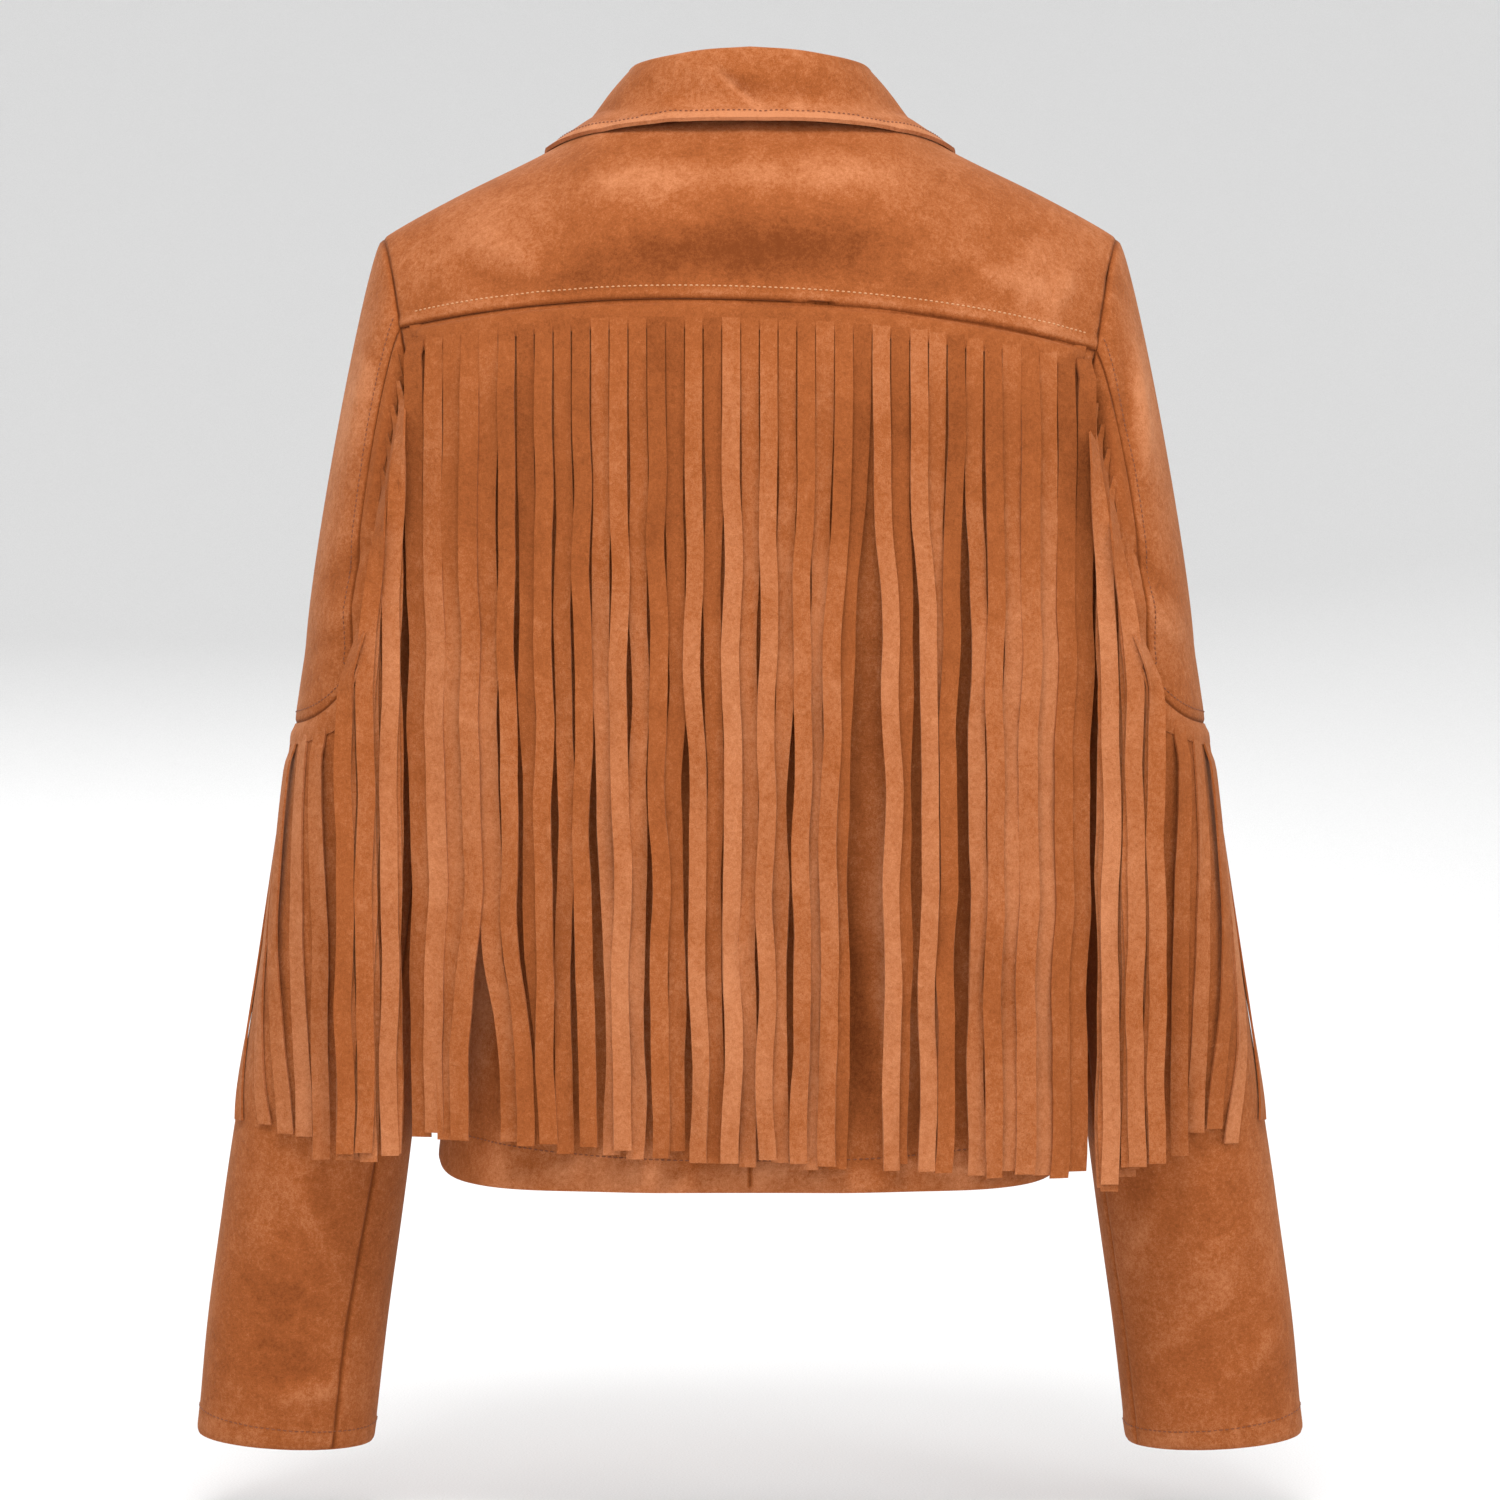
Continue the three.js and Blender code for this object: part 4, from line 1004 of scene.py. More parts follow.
panels = {"back_yoke": dict(blocks=[], middle=torso_middle)}
for side_name, hand in SIDES:
    torso, sleeve = torso_blocks(hand), sleeve_blocks(hand)
    if hand == RIGHT:
        torso = {name: mirrored(grid) for name, grid in torso.items()}
        sleeve = {name: mirrored(grid) for name, grid in sleeve.items()}
    round_arm = sleeve_middle(hand)
    panels["back_yoke"]["blocks"].append(torso["yoke"])
    panels["back_" + side_name] = dict(blocks=[torso["back"]], middle=torso_middle)
    panels["front_" + side_name] = dict(blocks=[torso["front_top"], torso["front"]], middle=torso_middle)
    panels["sleeve_cap_" + side_name] = dict(blocks=[sleeve["cap"]], middle=round_arm)
    panels["sleeve_lower_" + side_name] = dict(blocks=[sleeve["strip"], sleeve["lower"]], middle=round_arm)
    panels["sleeve_under_" + side_name] = dict(blocks=[sleeve["under"]], middle=round_arm)

shared = {}
for panel in panels.values():
    panel.update(faces_of(panel["blocks"], panel["middle"]))
    for k, n in zip(panel["keys"], normals_of(panel)):
        shared[k] = shared.get(k, 0) + n


def seam_band(distance, width=YOKE_STITCH, height=1.15):
    """A seam's edge with its allowance pressed under it, up to the row of stitches."""
    swell = height * np.sqrt(np.clip(1 - ((distance - 0.42 * width) / (0.6 * width)) ** 2, 0, 1))
    return swell - 0.35 * bell(distance - width, 1.2)


def collar_band(points):
    """The collar's edge, raised up to its row of stitches."""
    distance = rim_distance(points, collar_edge)
    return seam_band(distance, COLLAR_STITCH, 1.3) - 0.2 * bell(distance - COLLAR_STITCH, 1.3)


def yoke_band(points):
    """The yoke's lower edge, raised up to its row of stitches."""
    return seam_band(points[:, 2] - yoke_z(points[:, 0])) * smoothstep(points[:, 1], 40, 55)


def hem_band(points):
    """The turned up hem, grooved and puckered at its stitches."""
    x, y, z = points.T
    above = z - hem_z(x)
    groove = -0.45 * bell(above - HEM_STITCH, 0.9)
    pucker = 0.16 * np.sin(x / 2.1 + 1.3 * np.sin(x / 9))
    pucker = pucker * bell(above - HEM_STITCH, 5)
    return groove + pucker + 0.3 * smoothstep(HEM_STITCH - above, 0, 3)


def painted_light_and_shade(points):
    """How much lighter or darker the cloth is painted, as painted light and shade."""
    x, z, behind = points[:, 0], points[:, 2], behind_middle(points)
    total = np.zeros(len(points))
    for c in PAINTED_LIGHT_ZONES:
        near = np.exp(-(((x - c["x"]) / c["width"]) ** 2) - ((z - c["z"]) / c["height"]) ** 2)
        total += c["tone"] * near * smoothstep(behind * c["face"], 0, 30)
    return total + CREASE_LIGHT_AND_SHADE * fold_relief(points)


CUFF_CENTRE = sleeve_centre(np.array(float(CUFF_Z)))
CUFF_AXIS = sleeve_frame(np.array(float(CUFF_Z)))[0]


def above_cuff(points):
    """Distance up the sleeve from its end."""
    x, y, z = points.T
    return (CUFF_CENTRE - stack(np.abs(x), y, z)) @ CUFF_AXIS


def cuff_band(points):
    """The turned up end of a sleeve, a little thicker and puckered at its stitches."""
    above = above_cuff(points)
    around = points[:, 0] + points[:, 1]
    pucker = 0.3 * np.sin(around / 2.3 + 1.3 * np.sin(around / 9))
    pucker = pucker * bell(above - 0.6 * CUFF_STITCH, 6)
    return pucker + 0.35 * smoothstep(CUFF_STITCH - above, -1, 3)


def painted_seam_shade(panel):
    """Painted shade along the rims that a seam joins, not at the hem, the cuffs or the front edges."""
    p = panel["points"][np.unique(rim_of(panel["quads"]))]
    x = np.abs(p[:, 0])
    hem = (p[:, 2] < hem_z(x) + 3) & (x < half_width(HEM_Z) + 1)
    front = (x < FRONT_EDGE[1] + 1) & (p[:, 1] < SHOULDER_Y)
    sewn = p[~(hem | front | (above_cuff(p) < 1))]
    return SEAM_SHADE * bell(rim_distance(panel["points"], sewn), SEAM_HALF)


for name, panel in panels.items():
    relief = cuff_band if name.startswith("sleeve") else hem_band
    if name == "back_yoke":
        relief = yoke_band
    points, faces = wall(panel, shared, CLOTH, relief=relief)
    # Painted shade along the sewn rims.
    seams = painted_seam_shade(panel)
    if name.startswith("sleeve") and name.endswith("right"):
        seams = seams * lerp(1, FADED_SEAM_SHADE, smoothstep(-panel["points"][:, 2], *HIDDEN_FROM))
    # Painted light and shade in broad zones and on creases, with the painted seam shade.
    tone = painted_light_and_shade(points) + np.tile(seams, 2)
    # A painted highlight on the yoke's raised edge and on the cuffs' turn-ups.
    if name == "back_yoke":
        tone = tone + BAND_HIGHLIGHT["yoke"] * yoke_band(points)
    elif relief is cuff_band:
        tone = tone + BAND_HIGHLIGHT["cuff"] * cuff_band(points)
    piece = make(name + "_cloth", points, faces, CLOTH_LOOK, tone)
    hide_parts(name)
    panel["piece"] = piece

collar_grid = collar_block()
collar_edge = np.concatenate([collar_grid[:, -1], collar_grid[0, -12:], collar_grid[-1, -12:]])
collar = faces_of([collar_grid], lambda p: np.array([0, 0, -1000.0]))
points, faces = wall(collar, None, COLLAR_WALL, 0.5, collar_band)
# Painted light and shade, with a painted highlight on the collar's raised edge.
tone = painted_light_and_shade(points) + BAND_HIGHLIGHT["collar"] * collar_band(points)
collar_piece = make("collar_cloth", points, faces, CLOTH_LOOK, tone)
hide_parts("collar")


# Fringes.
def sleeve_distance(p):
    z = p[..., 2]
    a, b = sleeve_curve["width"](z), sleeve_curve["depth"](z)
    qx, qy = (p[..., 0] - sleeve_curve["x"](z)) / a, (p[..., 1] - sleeve_curve["y"](z)) / b
    size = np.hypot(qx, qy)
    slope = stack(qx / a, qy / b, 0 * qx) / size[..., None]
    outside = (z > BICEPS_Z) | (z < CUFF_Z)
    distance = np.where(outside, 99, (size - 1) / np.linalg.norm(slope, axis=-1))
    return distance, np.where(outside[..., None], np.array([0, 1.0, 0]), unit(slope))


def chance(seed, salt):
    """A fixed number between -1 and 1 for a seed, different for each salt."""
    v = math.sin(seed * 12.9898 + salt * 78.233) * 43758.5453
    return 2 * (v - math.floor(v)) - 1


def sleeve_normal(turn, t):
    e = 0.004
    round_it = sleeve_point(turn + e, t) - sleeve_point(turn - e, t)
    down = sleeve_point(turn, t + e) - sleeve_point(turn, t - e)
    n = unit(np.cross(down, round_it))
    away = sleeve_point(turn, t) - sleeve_point(turn + 0.5, t)
    return n * np.sign((n * away).sum(-1, keepdims=True))


def turned(v, angle):
    c, s = np.cos(angle), np.sin(angle)
    return stack(v[..., 0] * c - v[..., 1] * s, v[..., 0] * s + v[..., 1] * c, v[..., 2])


# A strand's section: shares of its half width and half thickness, round it.
ACROSS = [-1, -0.5, 0, 0.5, 1]
SECTION = [(a, -1) for a in ACROSS] + [(a, 1) for a in ACROSS[::-1]]


def ribbon(centre, facing, twist, bend, wider=1.0):
    """A strand through its centres, a little hollow across, with cut ends."""
    out = unit(turned(facing * np.array([1, 1, 0]), twist))
    across = np.cross(out, np.array([0, 0, 1.0]))
    w, t = STRAND["width"] / 2 * wider * np.ones(len(centre)), STRAND["thickness"] / 2
    rings = []
    for a, o in SECTION:
        hollow = bend * (a * a - 0.4)
        rings.append(centre + across * (a * w)[:, None] + out * (o * t + hollow)[:, None])
    points = np.stack(rings, 1)
    n, m = points.shape[:2]
    ids = np.arange(n * m).reshape(n, m)
    quads = np.stack(
        [ids[:-1], ids[1:], np.roll(ids, -1, 1)[1:], np.roll(ids, -1, 1)[:-1]], -1
    ).reshape(-1, 4)
    caps = [[m - 1 - k, m - 2 - k, 1 + k, k] for k in range(m // 2 - 1)]
    first = [c[::-1] for c in caps]
    last = [[i + (n - 1) * m for i in c] for c in caps]
    return points.reshape(-1, 3), np.concatenate([quads, first, last])


def joined(parts):
    """Several (points, faces, tone) as one mesh, with painted light added: lighter low down."""
    points, faces, tones_and_painted_light, count = [], [], [], 0
    for p, f, tone_and_painted_light in parts:
        points.append(p)
        faces.append(np.asarray(f) + count)
        # Painted light: the strands are lighter low down.
        tones_and_painted_light.append(tone_and_painted_light + lerp(*STRAND_PAINTED_LIGHT, smoothstep(-p[:, 2], *STRAND_LIGHTENS)))
        count += len(p)
    return np.concatenate(points), np.concatenate(faces), np.concatenate(tones_and_painted_light)


# Shares of a strand's length where it has a section, closest under its header.
SECTIONS = np.concatenate([[0, 0.012, 0.025], np.linspace(0.04, 1, 44)])


def gap_push(x, z):
    """How far a strand rooted at x is pushed aside, where the strands part."""
    push = 0
    for gap in FRINGE_GAPS:
        side = x - gap["x"]
        near = max(0, 1 - abs(side) / (GAP_REACH["base"] + GAP_REACH["slope"] * gap["width"]))
        opened = smoothstep(-z, -gap["top"], -gap["open"])
        push = push + math.copysign(gap["width"] / 2, side) * near * opened
    return push


# Waves down a strand: mean wavelength, how far it varies, and share of the size.
WAVER = table("length varies share", (125, 30, 1), (70, 14, 0.45), (31, 6, 0.12))
CURL = table("length varies share", (165, 40, 1), (84, 20, 0.5))


def waves(rows, seed, salt, down):
    """Waves down a strand, out of step with those of the other strands."""
    total = 0
    for k, row in enumerate(rows):
        length = row["length"] + row["varies"] * chance(seed, salt + 2 * k)
        phase = 9 * chance(seed, salt + 2 * k + 1)
        total = total + row["share"] * np.sin(math.tau * down / length + phase)
    return total


def waver(seed, down, size):
    """How far a limp strand wavers from side to side."""
    return size * waves(WAVER, seed, 41, down) * smoothstep(down, 25, 110)


def curl(seed, down, size):
    """How far a strand turns on itself, more of it low down."""
    return size * waves(CURL, seed, 51, down) * smoothstep(down, 50, 330)


def hang(centre, facing, down, twist, hollow, seeds, wider=1.0):
    """The mesh of a hanging strand, hollowed by a wave down it, and the tone of its nap."""
    size, length = hollow
    bend = size * np.sin(down / length + 6 * chance(*seeds[0])) * smoothstep(down / down[-1], 0.03, 0.3)
    return (*ribbon(centre, facing, twist, bend, wider), STRAND_TINT * chance(*seeds[1]))


def back_strand(i):
    """A strand of the back, which hangs clear of the widest part of the body above each point."""
    f = BACK_FRINGE
    s = SECTIONS
    x = (i - (f["strands"] - 1) / 2) * f["pitch"]
    at_side = abs(x) > SIDE_STRANDS
    top = yoke_z(x) - HEADER["gap"] - f["header"] * 0.45
    down = (top - f["end"] - f["end_lean"] * x + 3 * chance(i, 1)) * s
    z = top - down
    if at_side:
        sway = 0.8 * s * chance(math.copysign(SIDE_STRANDS, x), 2) + 0.2 * waver(i, down, f["waver"])
    else:
        sway = 1.2 * s * chance(i, 2) + 0.8 * s * np.sin(3 * s + 3 * chance(i, 3))
    sway = sway + waver(SIDE_SEED if at_side else i, down, f["waver"])
    drift = x * (1 - f["drawn"] * s) + gap_push(x, z) + sway
    _, direction = torso_distance(stack(x, torso_y(BACK, x, top), top))
    reach, high = [], 0
    for place, low in zip(drift, z):
        heights = np.arange(top, low - 6, -6)
        high = max(high, float(torso_y(BACK, place, heights).max()))
        reach.append(high)
    settle = smoothstep(s, 0.0, 0.05)
    off = smoothstep(s, 0, 0.035)
    hung = f["beside"] * smoothstep(abs(x), 158, 172) * off + off + f["bow"] * smoothstep(s, 0.03, 0.5)
    hung = hung + (i % 2) * (f["layer"] * smoothstep(s, 0.02, 0.1) + f["spread"] * s)
    level = unit(lerp(direction, np.array([0, 1.0, 0]), 0.4) * np.array([1, 1, 0]))
    facing = unit(lerp(direction[None, :], level[None, :], settle[:, None]))
    centre = stack(drift, lerp(torso_y(BACK, drift, z), np.array(reach), settle), z)
    centre = centre + facing * (HEADER["lift"] + hung + 0.4 * waver(i + 90, down, 1))[:, None]
    if at_side:
        beside = drift + math.copysign(SIDE_SHIFT, x)
        centre[:, 0] = lerp(centre[:, 0], beside, smoothstep(s, 0.06, 0.3))
    twist = 0.16 * s * chance(i, 4) + curl(i, down, f["side_curl"] if at_side else f["curl"])
    wider = f["side_wider"] if at_side else 1 + 0.03 * chance(i, 9)
    return hang(centre, facing, down, twist, (0.4, 60), ((i, 6), (i, 7)), wider)


def header_wall(grid, middle):
    return wall(faces_of([grid], middle), None, HEADER["thickness"], 0.3)


def back_header():
    """The narrow strip that the back's strands are cut from, its top edge under the yoke's."""
    share = np.linspace(-1, 1, 110)[None, :]
    row = np.array([0, 0.06, 0.12, 0.19, 0.27, 0.42, 0.6, 0.8, 1])[:, None]
    down = HEADER["gap"] + BACK_FRINGE["header"] * row - 0.8 * (row == 0)
    side = yoke_z(np.sign(share) * YOKE["reach"]) - down
    x = share * (armhole(armhole_turn(side))[..., 0] - BACK_FRINGE["armhole_gap"])
    z = yoke_z(x) - down
    p = stack(x, torso_y(BACK, x, z), z)
    near_end = smoothstep(np.abs(share), 0.955, 1)
    lift = lerp(HEADER["lift"] - 2.9 * (1 - smoothstep(row, 0, 0.27)), 0.9, near_end)
    return p + torso_distance(p)[1] * lift[..., None]


parts = [(*header_wall(back_header(), torso_middle), 0)]
parts += [back_strand(i) for i in range(BACK_FRINGE["strands"])]
points, faces, tones_and_painted_light = joined(parts)
back_fringe = make("fringe_back_strands", points, faces, FRINGE_LOOK, tones_and_painted_light)
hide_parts("fringe_back")


# Millimetres to a turn round the sleeve and to a unit down it, and the header's end at the front.
GIRTH, REACH = 300, 400
FRONT_CLEAR = 0.012


def fringe_line(hand, width, fine=1, lift=HEADER["lift"]):
    """A line beside the fringe's seam, at a distance from it and a height over the sleeve."""
    f = SLEEVE_FRINGE
    corner, front = FRINGE_SEAM["elbow_turn"], FRONT_SEAM - 1
    corner_t = FRINGE_SEAM["corner_t"]
    off = HEADER["gap"] + width
    t = np.linspace(0.07, corner_t, f["vertical"] * 2 * fine + 1)
    arm = np.stack(
        [fringe_seam_turn(hand, t) + off / GIRTH, t + off / REACH * smoothstep(t, 0.6, corner_t)], -1
    )
    turn = np.linspace(corner, front + FRONT_CLEAR, f["elbow"] * 2 * fine + 1)
    low = np.stack(
        [turn + off / GIRTH * smoothstep(turn, corner - 0.1, corner), fringe_seam_t(turn) + off / REACH], -1
    )
    line = np.concatenate([arm[:-1], low])
    out = sleeve_normal(line[:, 0], line[:, 1])
    return sleeve_point(line[:, 0], line[:, 1]) + out * lift, out


def arm_strand(hand, i):
    """A strand from the seam along the arm. It comes out edge on and hangs in one of three columns."""
    f = SLEEVE_FRINGE
    line, outs = fringe_line(hand, f["header"] * 0.75, 1, 0.9)
    root = line[2 * i + 1]
    place, level = divmod(f["vertical"] - 1 - i, f["per_column"])
    s = SECTIONS
    down = (root[2] - f["arm_end"][hand][place] + 3 * chance(i, hand + 5)) * s
    out = smoothstep(s, 0, f["outward"])
    to_elbow = max(30, root[2] - ELBOW_CORNER_Z)
    moved = smoothstep(down, 6, to_elbow)
    seed = 200 + 40 * hand + i
    column = f["column_x"] + level * f["level_shift"] - place * f["column"]
    x = lerp(root[0] - 2.5 * smoothstep(down, 0, 12), column, moved)
    x = x + 0.6 * s * chance(i, hand + 6) + waver(seed, down, 0.7)
    y = lerp(root[1], f["stand_off"] + f["layer"] * level, out) + 0.35 * waver(seed + 90, down, 1)
    centre = stack(x, y, root[2] - down)
    start = outs[2 * i + 1] * np.array([1, 1, 0])
    behind = np.array([[0, 1.0, 0]])
    facing = unit(lerp(unit(start)[None, :], behind, smoothstep(down, 0, 30)[:, None]))
    edge_on = 1.05 * smoothstep(down, 2, 14) * (1 - smoothstep(down, 24, 80 + 20 * chance(seed, 3)))
    twist = curl(seed, down, 0.2) - edge_on
    wider = lerp(0.2, 1, smoothstep(down, 0, 20))
    return hang(centre, facing, down, twist, (0.35, 55), ((i, hand + 16), (i, hand + 17)), wider)


def elbow_strand(hand, i):
    """A strand from the seam round the elbow, which lies on the forearm."""
    f = SLEEVE_FRINGE
    apart = f["layer"] * (i % 2) * (1 - smoothstep(i, *f["outer_elbow"]))
    line, outs = fringe_line(hand, f["header"] * 0.6, 1, ELBOW_LIFT)
    n = 2 * f["vertical"] + 2 * i + 1
    root, root_out = line[n], outs[n]
    s = SECTIONS
    end = lerp(f["elbow_end"], f["front_end"], i / f["elbow"])
    down = (root[2] - end + 6 * chance(i, hand + 7)) * s
    seed = 300 + 40 * hand + i
    p = root[None, :] - stack(0, 0, down)
    side = np.cross(root_out * np.array([1, 1, 0]), np.array([0, 0, 1.0]))
    p = p + side * waver(seed, down, 0.6)[:, None]
    hung = apart * smoothstep(s, 0.01, 0.08)
    for _ in range(4):
        distance, direction = sleeve_distance(p)
        want = (lerp(ELBOW_LIFT, ON_SLEEVE, smoothstep(s, 0.03, 0.12)) + hung) * (s > 0.02)
        p = p + direction * np.where(s > 0.02, np.maximum(want - distance, 0), 0)[:, None]
    direction = np.where((s > 0.02)[:, None], direction, root_out)
    twist = 0.1 * s * chance(i, hand + 8) + curl(seed, down, 0.14)
    return hang(p, direction, down, twist, (0.35, 50), ((i, hand + 26), (i, hand + 27)))


for side_name, hand in SIDES:
    grid = []
    for k in np.linspace(0, 1, 8):
        width, lift = SLEEVE_FRINGE["header"] * k - 0.6 * (k == 0), lerp(0.1, 1.25, smoothstep(k, 0, 0.5))
        grid.append(fringe_line(hand, width, 3, lift)[0])
    parts = [(*header_wall(np.array(grid), sleeve_middle(LEFT)), 0)]
    parts += [arm_strand(hand, i) for i in range(SLEEVE_FRINGE["vertical"])]
    parts += [elbow_strand(hand, i) for i in range(SLEEVE_FRINGE["elbow"] - 1)]
    points, faces, tones_and_painted_light = joined(parts)
    if hand == RIGHT:
        points, faces = mirrored(points), faces[:, ::-1]
    piece = make("fringe_sleeve_" + side_name + "_strands", points, faces, FRINGE_LOOK, tones_and_painted_light)
    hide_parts("fringe_sleeve_" + side_name)


# Stitches: a short rounded grain of thread for each, as shares of its half length and its radius.
GRAIN = [(-1, 0.35), (-0.62, 0.88), (0, 1), (0.62, 0.88), (1, 0.35)]
YOKE_THREAD = dict(pitch=2.8, length=1.6, radius=0.4)
HEM_THREAD = dict(pitch=3, length=2.2, radius=0.36)
COLLAR_THREAD = dict(pitch=2.7, length=1.6, radius=0.46)
SEAM_THREAD = dict(pitch=2.6, length=1.9, radius=0.36)


def stitch_row(line, outs, pitch, length, radius, sink=0.35):
    """Grains of thread along a line that lies on the cloth."""
    at = lengths_along(line)
    count = int(at[-1] / pitch)
    middle = (np.arange(count) + 0.5) * at[-1] / count
    centre = interpolate(middle, at, line)
    along = unit(interpolate(middle + 0.4, at, line) - interpolate(middle - 0.4, at, line))
    out = unit(interpolate(middle, at, outs))
    across = unit(np.cross(along, out))
    rings = []
    for share, size in GRAIN:
        for a in np.arange(6) * math.tau / 6:
            lift = radius * (size * math.sin(a) + sink) - 0.5 * radius * share**2
            aside = radius * size * math.cos(a)
            rings.append(centre + along * (share * length / 2) + across * aside + out * lift)
    points = np.stack(rings, 1)
    ids = np.arange(30).reshape(5, 6)
    beside = np.roll(ids, -1, 1)
    quads = np.stack([ids[1:], beside[1:], beside[:-1], ids[:-1]], -1).reshape(-1, 4)
    ends = [[0, 1, 2, 3], [0, 3, 4, 5], [27, 26, 25, 24], [29, 28, 27, 24]]
    faces = np.concatenate([quads, ends])
    return points.reshape(-1, 3), (faces[None] + 30 * np.arange(count)[:, None, None]).reshape(-1, 4)


def stitch_piece(name, rows, material):
    points, faces, _ = joined([(p, f, 0) for p, f in rows])
    return make(name, points, faces, material)


def seated(pieces, line):
    """A line moved onto the nearest outer cloth of some pieces, with the cloth's normals."""
    trees = []
    for piece in pieces:
        corners = [v.co for v in piece.data.vertices]
        trees.append(BVHTree.FromPolygons(corners, [tuple(f.vertices) for f in piece.data.polygons]))
    places, outs = [], []
    for place, direction in zip(*line):
        origin = Vector((place + direction * 8) * 0.001)
        hits = [tree.ray_cast(origin, Vector(-direction), 0.016) for tree in trees]
        hits = [hit for hit in hits if hit[0] is not None]
        if hits:
            nearest, normal = min(hits, key=lambda hit: hit[3])[:2]
            place, direction = np.array(nearest) * 1000, np.array(normal)
        places.append(place)
        outs.append(direction)
    places, outs = np.array(places), np.array(outs)
    soft = np.array([1, 2, 3, 2, 1]) / 9
    for k in range(3):
        outs[:, k] = np.convolve(np.pad(outs[:, k], 2, mode="edge"), soft, mode="valid")
    return places, unit(outs)


def on_face(face, x, z):
    p = stack(x, torso_y(face, x, z), z)
    return p, torso_distance(p)[1]


x = np.linspace(-170, 170, 500)
line = seated([panels["back_yoke"]["piece"]], on_face(BACK, x, yoke_z(x) + YOKE_STITCH))
stitch_piece("stitches_yoke", [stitch_row(*line, **YOKE_THREAD)], PALE_THREAD)

side = half_width(HEM_Z) - 6
backs = [panels["back_left"]["piece"], panels["back_right"]["piece"]]
x = np.linspace(-side, side, 400)
rows = [stitch_row(*seated(backs, on_face(BACK, x, hem_z(x) + HEM_STITCH)), **HEM_THREAD)]
for side_name, hand in SIDES:
    x = hand * np.linspace(FRONT_EDGE[1] + 3, side, 200)
    line = seated([panels["front_" + side_name]["piece"]], on_face(FRONT, x, hem_z(x) + HEM_STITCH))
    rows.append(stitch_row(*line, **HEM_THREAD))
stitch_piece("stitches_hem", rows, SHADED_THREAD)


def collar_row(count=400, ends=3):
    """The line of the collar's stitches inside its edge, on the outer face of the fall."""
    fall = collar_grid[:, -FALL_ROWS:]
    from_edge = np.cumsum(np.linalg.norm(np.diff(fall[:, ::-1], axis=1), axis=2), axis=1)
    at = (from_edge < COLLAR_STITCH).sum(1)
    places, outs = [], []
    for k in range(ends, len(at) - ends):
        n = at[k]
        places.append(fall[k, -1 - n])
        along, down = fall[k + 1, -1 - n] - fall[k - 1, -1 - n], fall[k, -1] - fall[k, -2 - n]
        outs.append(unit(np.cross(along, down)))
    shares = np.linspace(0, 1, count)
    outs = unit(interpolate(shares, np.linspace(0, 1, len(outs)), np.array(outs)))
    return resample(np.array(places), shares), outs * np.sign(outs[:, 2:])


line = seated([collar_piece], collar_row())
stitch_piece("stitches_collar", [stitch_row(*line, **COLLAR_THREAD)], SHADED_THREAD)

for side_name, hand in SIDES:
    arm = [panels[part + side_name]["piece"] for part in ("sleeve_cap_", "sleeve_lower_", "sleeve_under_")]
    flip = np.array([hand, 1, 1])

    def sleeve_row(turn, t, thread):
        line = sleeve_point(turn, t) * flip, sleeve_normal(turn, t) * flip
        return stitch_row(*seated(arm, line), **thread)

    turn = np.linspace(0, 1, 300)
    cuff_t = 2 - CUFF_STITCH / (BICEPS_Z - CUFF_Z)
    rows = [sleeve_row(turn, cuff_t + 0 * turn, HEM_THREAD)]
    t = np.linspace(0.06, FRINGE_SEAM["corner_t"] - 0.01, 200)
    turn = fringe_seam_turn(hand, t) - SEAM_STITCH / GIRTH
    along = np.stack([turn, t - SEAM_STITCH / REACH * smoothstep(t, 0.6, FRINGE_SEAM["corner_t"])], -1)
    turn = np.linspace(FRINGE_SEAM["elbow_turn"], FRONT_SEAM - 1 + FRONT_CLEAR, 120)
    low = np.stack([turn, fringe_seam_t(turn) - SEAM_STITCH / REACH], -1)
    path = np.concatenate([along, low])
    rows.append(sleeve_row(path[:, 0], path[:, 1], SEAM_THREAD))
    stitch_piece("stitches_sleeve_" + side_name, rows, SHADED_THREAD)


# Floor, light and camera, in metres and watts.
FLOOR_Z = -0.72
SWEEP = dict(flat=1.2, bend=7.0, wall=0.5)
TARGET = (0, 0, -0.3)
LAMPS = table(
    "name place size power",
    ("key", (0.1, 1.6, 1.75), 0.9, 42),
    ("fill", (-2.1, 2.5, 0.9), 1.2, 15.7),
    ("low_fill", (0.0, 2.5, -0.25), 1.6, 9),
    ("front_fill", (0.5, -2.6, 1.6), 1.8, 44),
)
SURROUND = 0.95


def studio_sweep():
    """A round pale floor that curves up into a backdrop on all sides."""
    turn = np.linspace(0, math.tau, 97)[:-1]
    flat, bend = SWEEP["flat"], SWEEP["bend"]
    profile = [(0.02, FLOOR_Z)]
    for a in np.linspace(0, math.pi / 2, 40):
        profile.append((flat + bend * math.sin(a), FLOOR_Z + bend * (1 - math.cos(a))))
    profile.append((flat + bend, FLOOR_Z + bend + SWEEP["wall"]))
    points = [(r * math.cos(t), r * math.sin(t), z) for r, z in profile for t in turn]
    n = len(turn)
    faces = [
        (i * n + k, i * n + (k + 1) % n, (i + 1) * n + (k + 1) % n, (i + 1) * n + k)
        for i in range(len(profile) - 1)
        for k in range(n)
    ]
    faces.append(tuple(range(n))[::-1])
    mesh = bpy.data.meshes.new("floor")
    mesh.from_pydata(points, [], faces)
    mesh.polygons.foreach_set("use_smooth", [True] * len(mesh.polygons))
    mesh.materials.append(plain_fibre("pale_floor", (0.8, 0.8, 0.8), 0.9))
    floor = bpy.data.objects.new("floor", mesh)
    bpy.context.scene.collection.objects.link(floor)


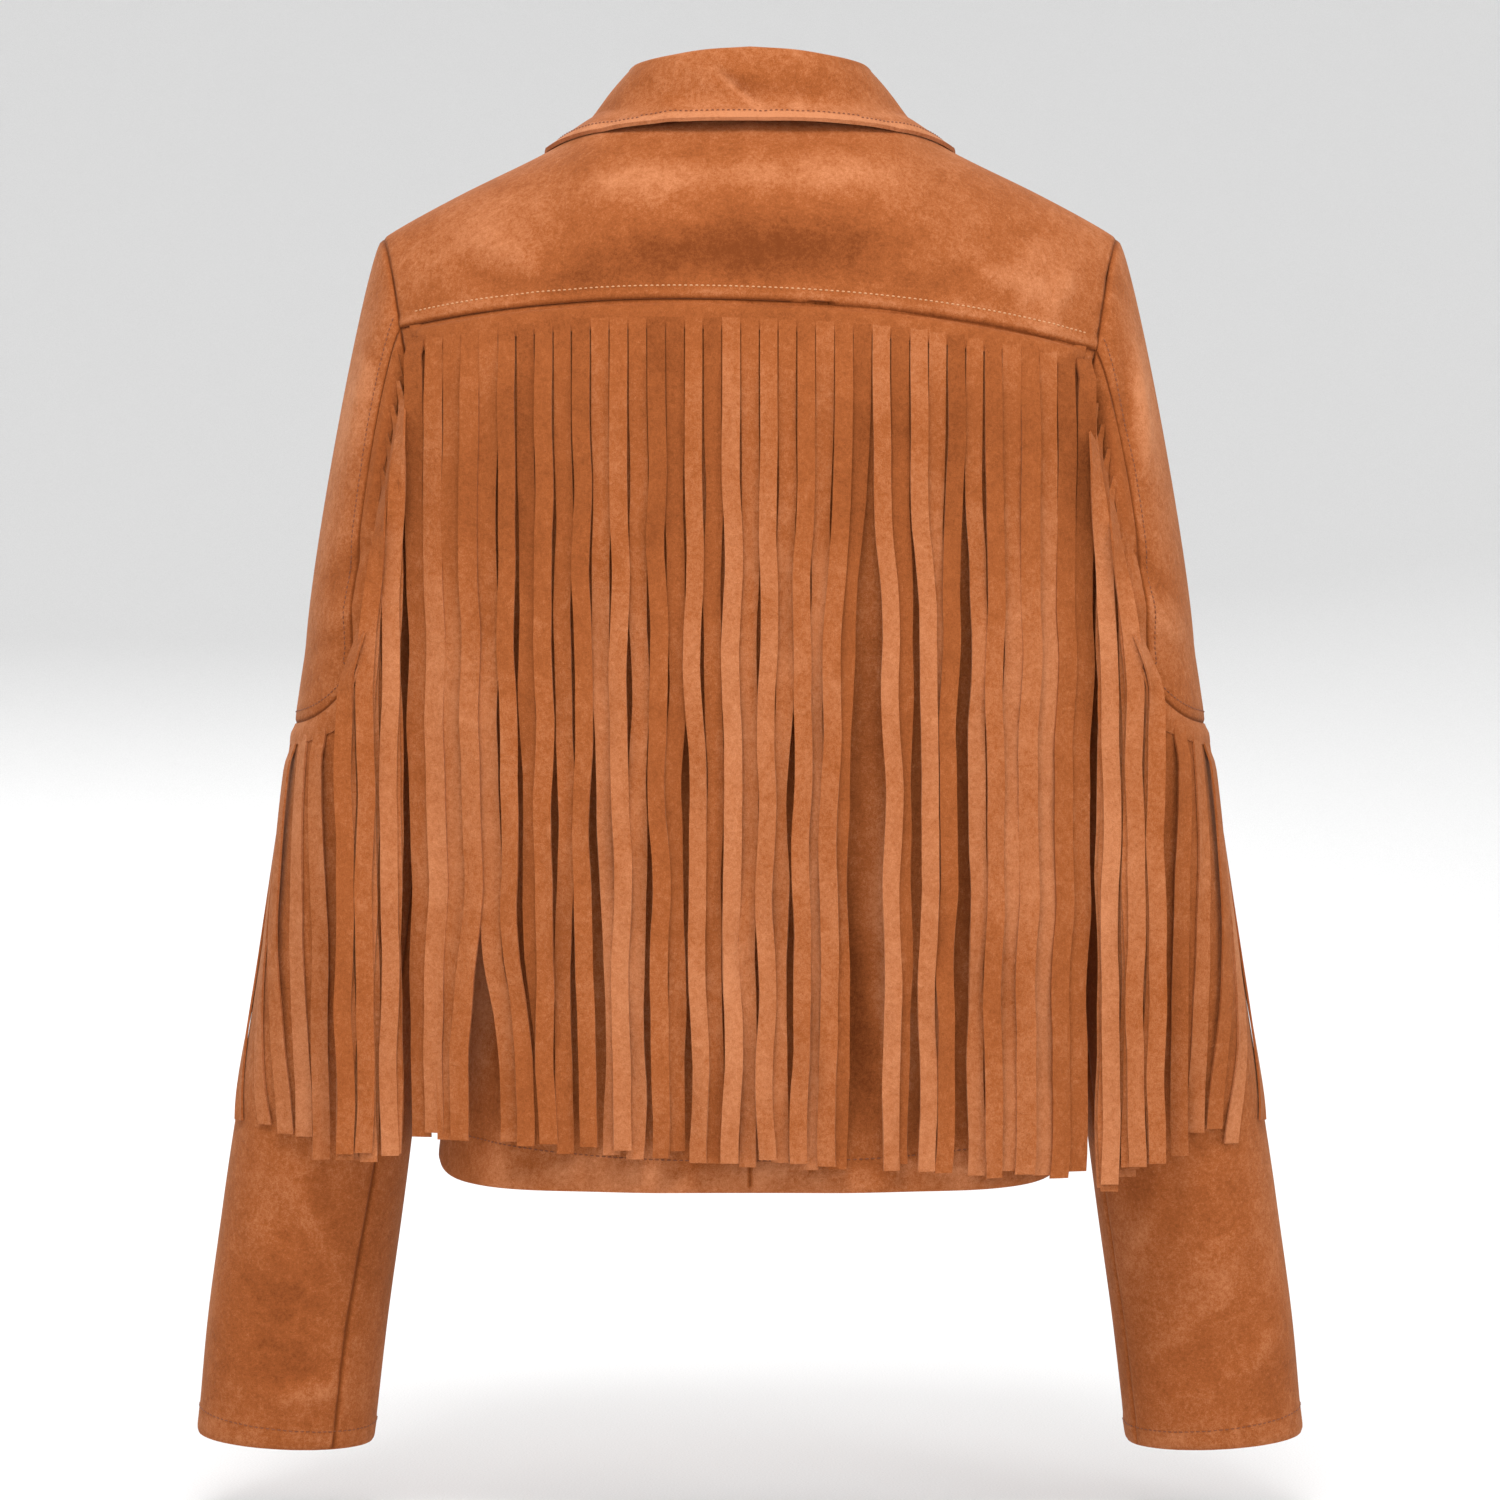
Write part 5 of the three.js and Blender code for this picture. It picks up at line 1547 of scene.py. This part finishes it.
def area_light(name, place, size, power):
    """A square lamp that faces the target and isn't seen by the camera itself."""
    data = bpy.data.lights.new(name, "AREA")
    data.size = size
    data.energy = power
    light = bpy.data.objects.new(name, data)
    light.location = place
    light.visible_camera = False
    x, y, z = np.array(TARGET) - np.array(place)
    light.rotation_euler = (math.atan2(math.hypot(x, y), -z), 0, math.atan2(x, -y) + math.pi)
    bpy.context.scene.collection.objects.link(light)


studio_sweep()
for lamp in LAMPS:
    area_light(**lamp)
world = bpy.data.worlds.new("studio")
bpy.context.scene.world = world
world.use_nodes = True
background = world.node_tree.nodes["Background"]
background.inputs["Color"].default_value = (1, 1, 1, 1)
background.inputs["Strength"].default_value = SURROUND
bpy.context.scene.view_settings.view_transform = "Standard"

camera_data = bpy.data.cameras.new("camera")
camera_data.sensor_width = 36
camera_data.sensor_fit = "HORIZONTAL"
camera_data.lens = 18 / (FRAME_WIDTH / 2 / CAMERA_DISTANCE)
camera = bpy.data.objects.new("camera", camera_data)
camera.location = (0, CAMERA_DISTANCE / 1000, CAMERA_HEIGHT / 1000)
camera.rotation_euler = (math.pi / 2, 0, math.pi)
bpy.context.scene.collection.objects.link(camera)
bpy.context.scene.camera = camera

# The cut of each piece of cloth, or of two alike: its flat width, length and area in metres.
CUTS = table(
    "names width length area held",
    ("back_yoke_cloth", 0.4, 0.128, 0.046, "hung"),
    ("back_left_cloth back_right_cloth", 0.205, 0.45, 0.083, "hung"),
    ("front_left_cloth front_right_cloth", 0.24, 0.56, 0.098, "hung"),
    ("collar_cloth", 0.52, 0.1, 0.041, "folded"),
    ("sleeve_cap_left_cloth sleeve_cap_right_cloth", 0.17, 0.26, 0.033, "hung"),
    ("sleeve_lower_left_cloth", 0.22, 0.6, 0.08, "hung"),
    ("sleeve_lower_right_cloth", 0.24, 0.6, 0.087, "hung"),
    ("sleeve_under_left_cloth", 0.12, 0.51, 0.042, "hung"),
    ("sleeve_under_right_cloth", 0.1, 0.51, 0.034, "hung"),
    ("fringe_back_strands", 0.355, 0.45, 0.146, "hung"),
    ("fringe_sleeve_left_strands fringe_sleeve_right_strands", 0.3, 0.38, 0.055, "hung"),
)
for cut in CUTS:
    for name in cut["names"].split():
        piece = bpy.data.objects[name]
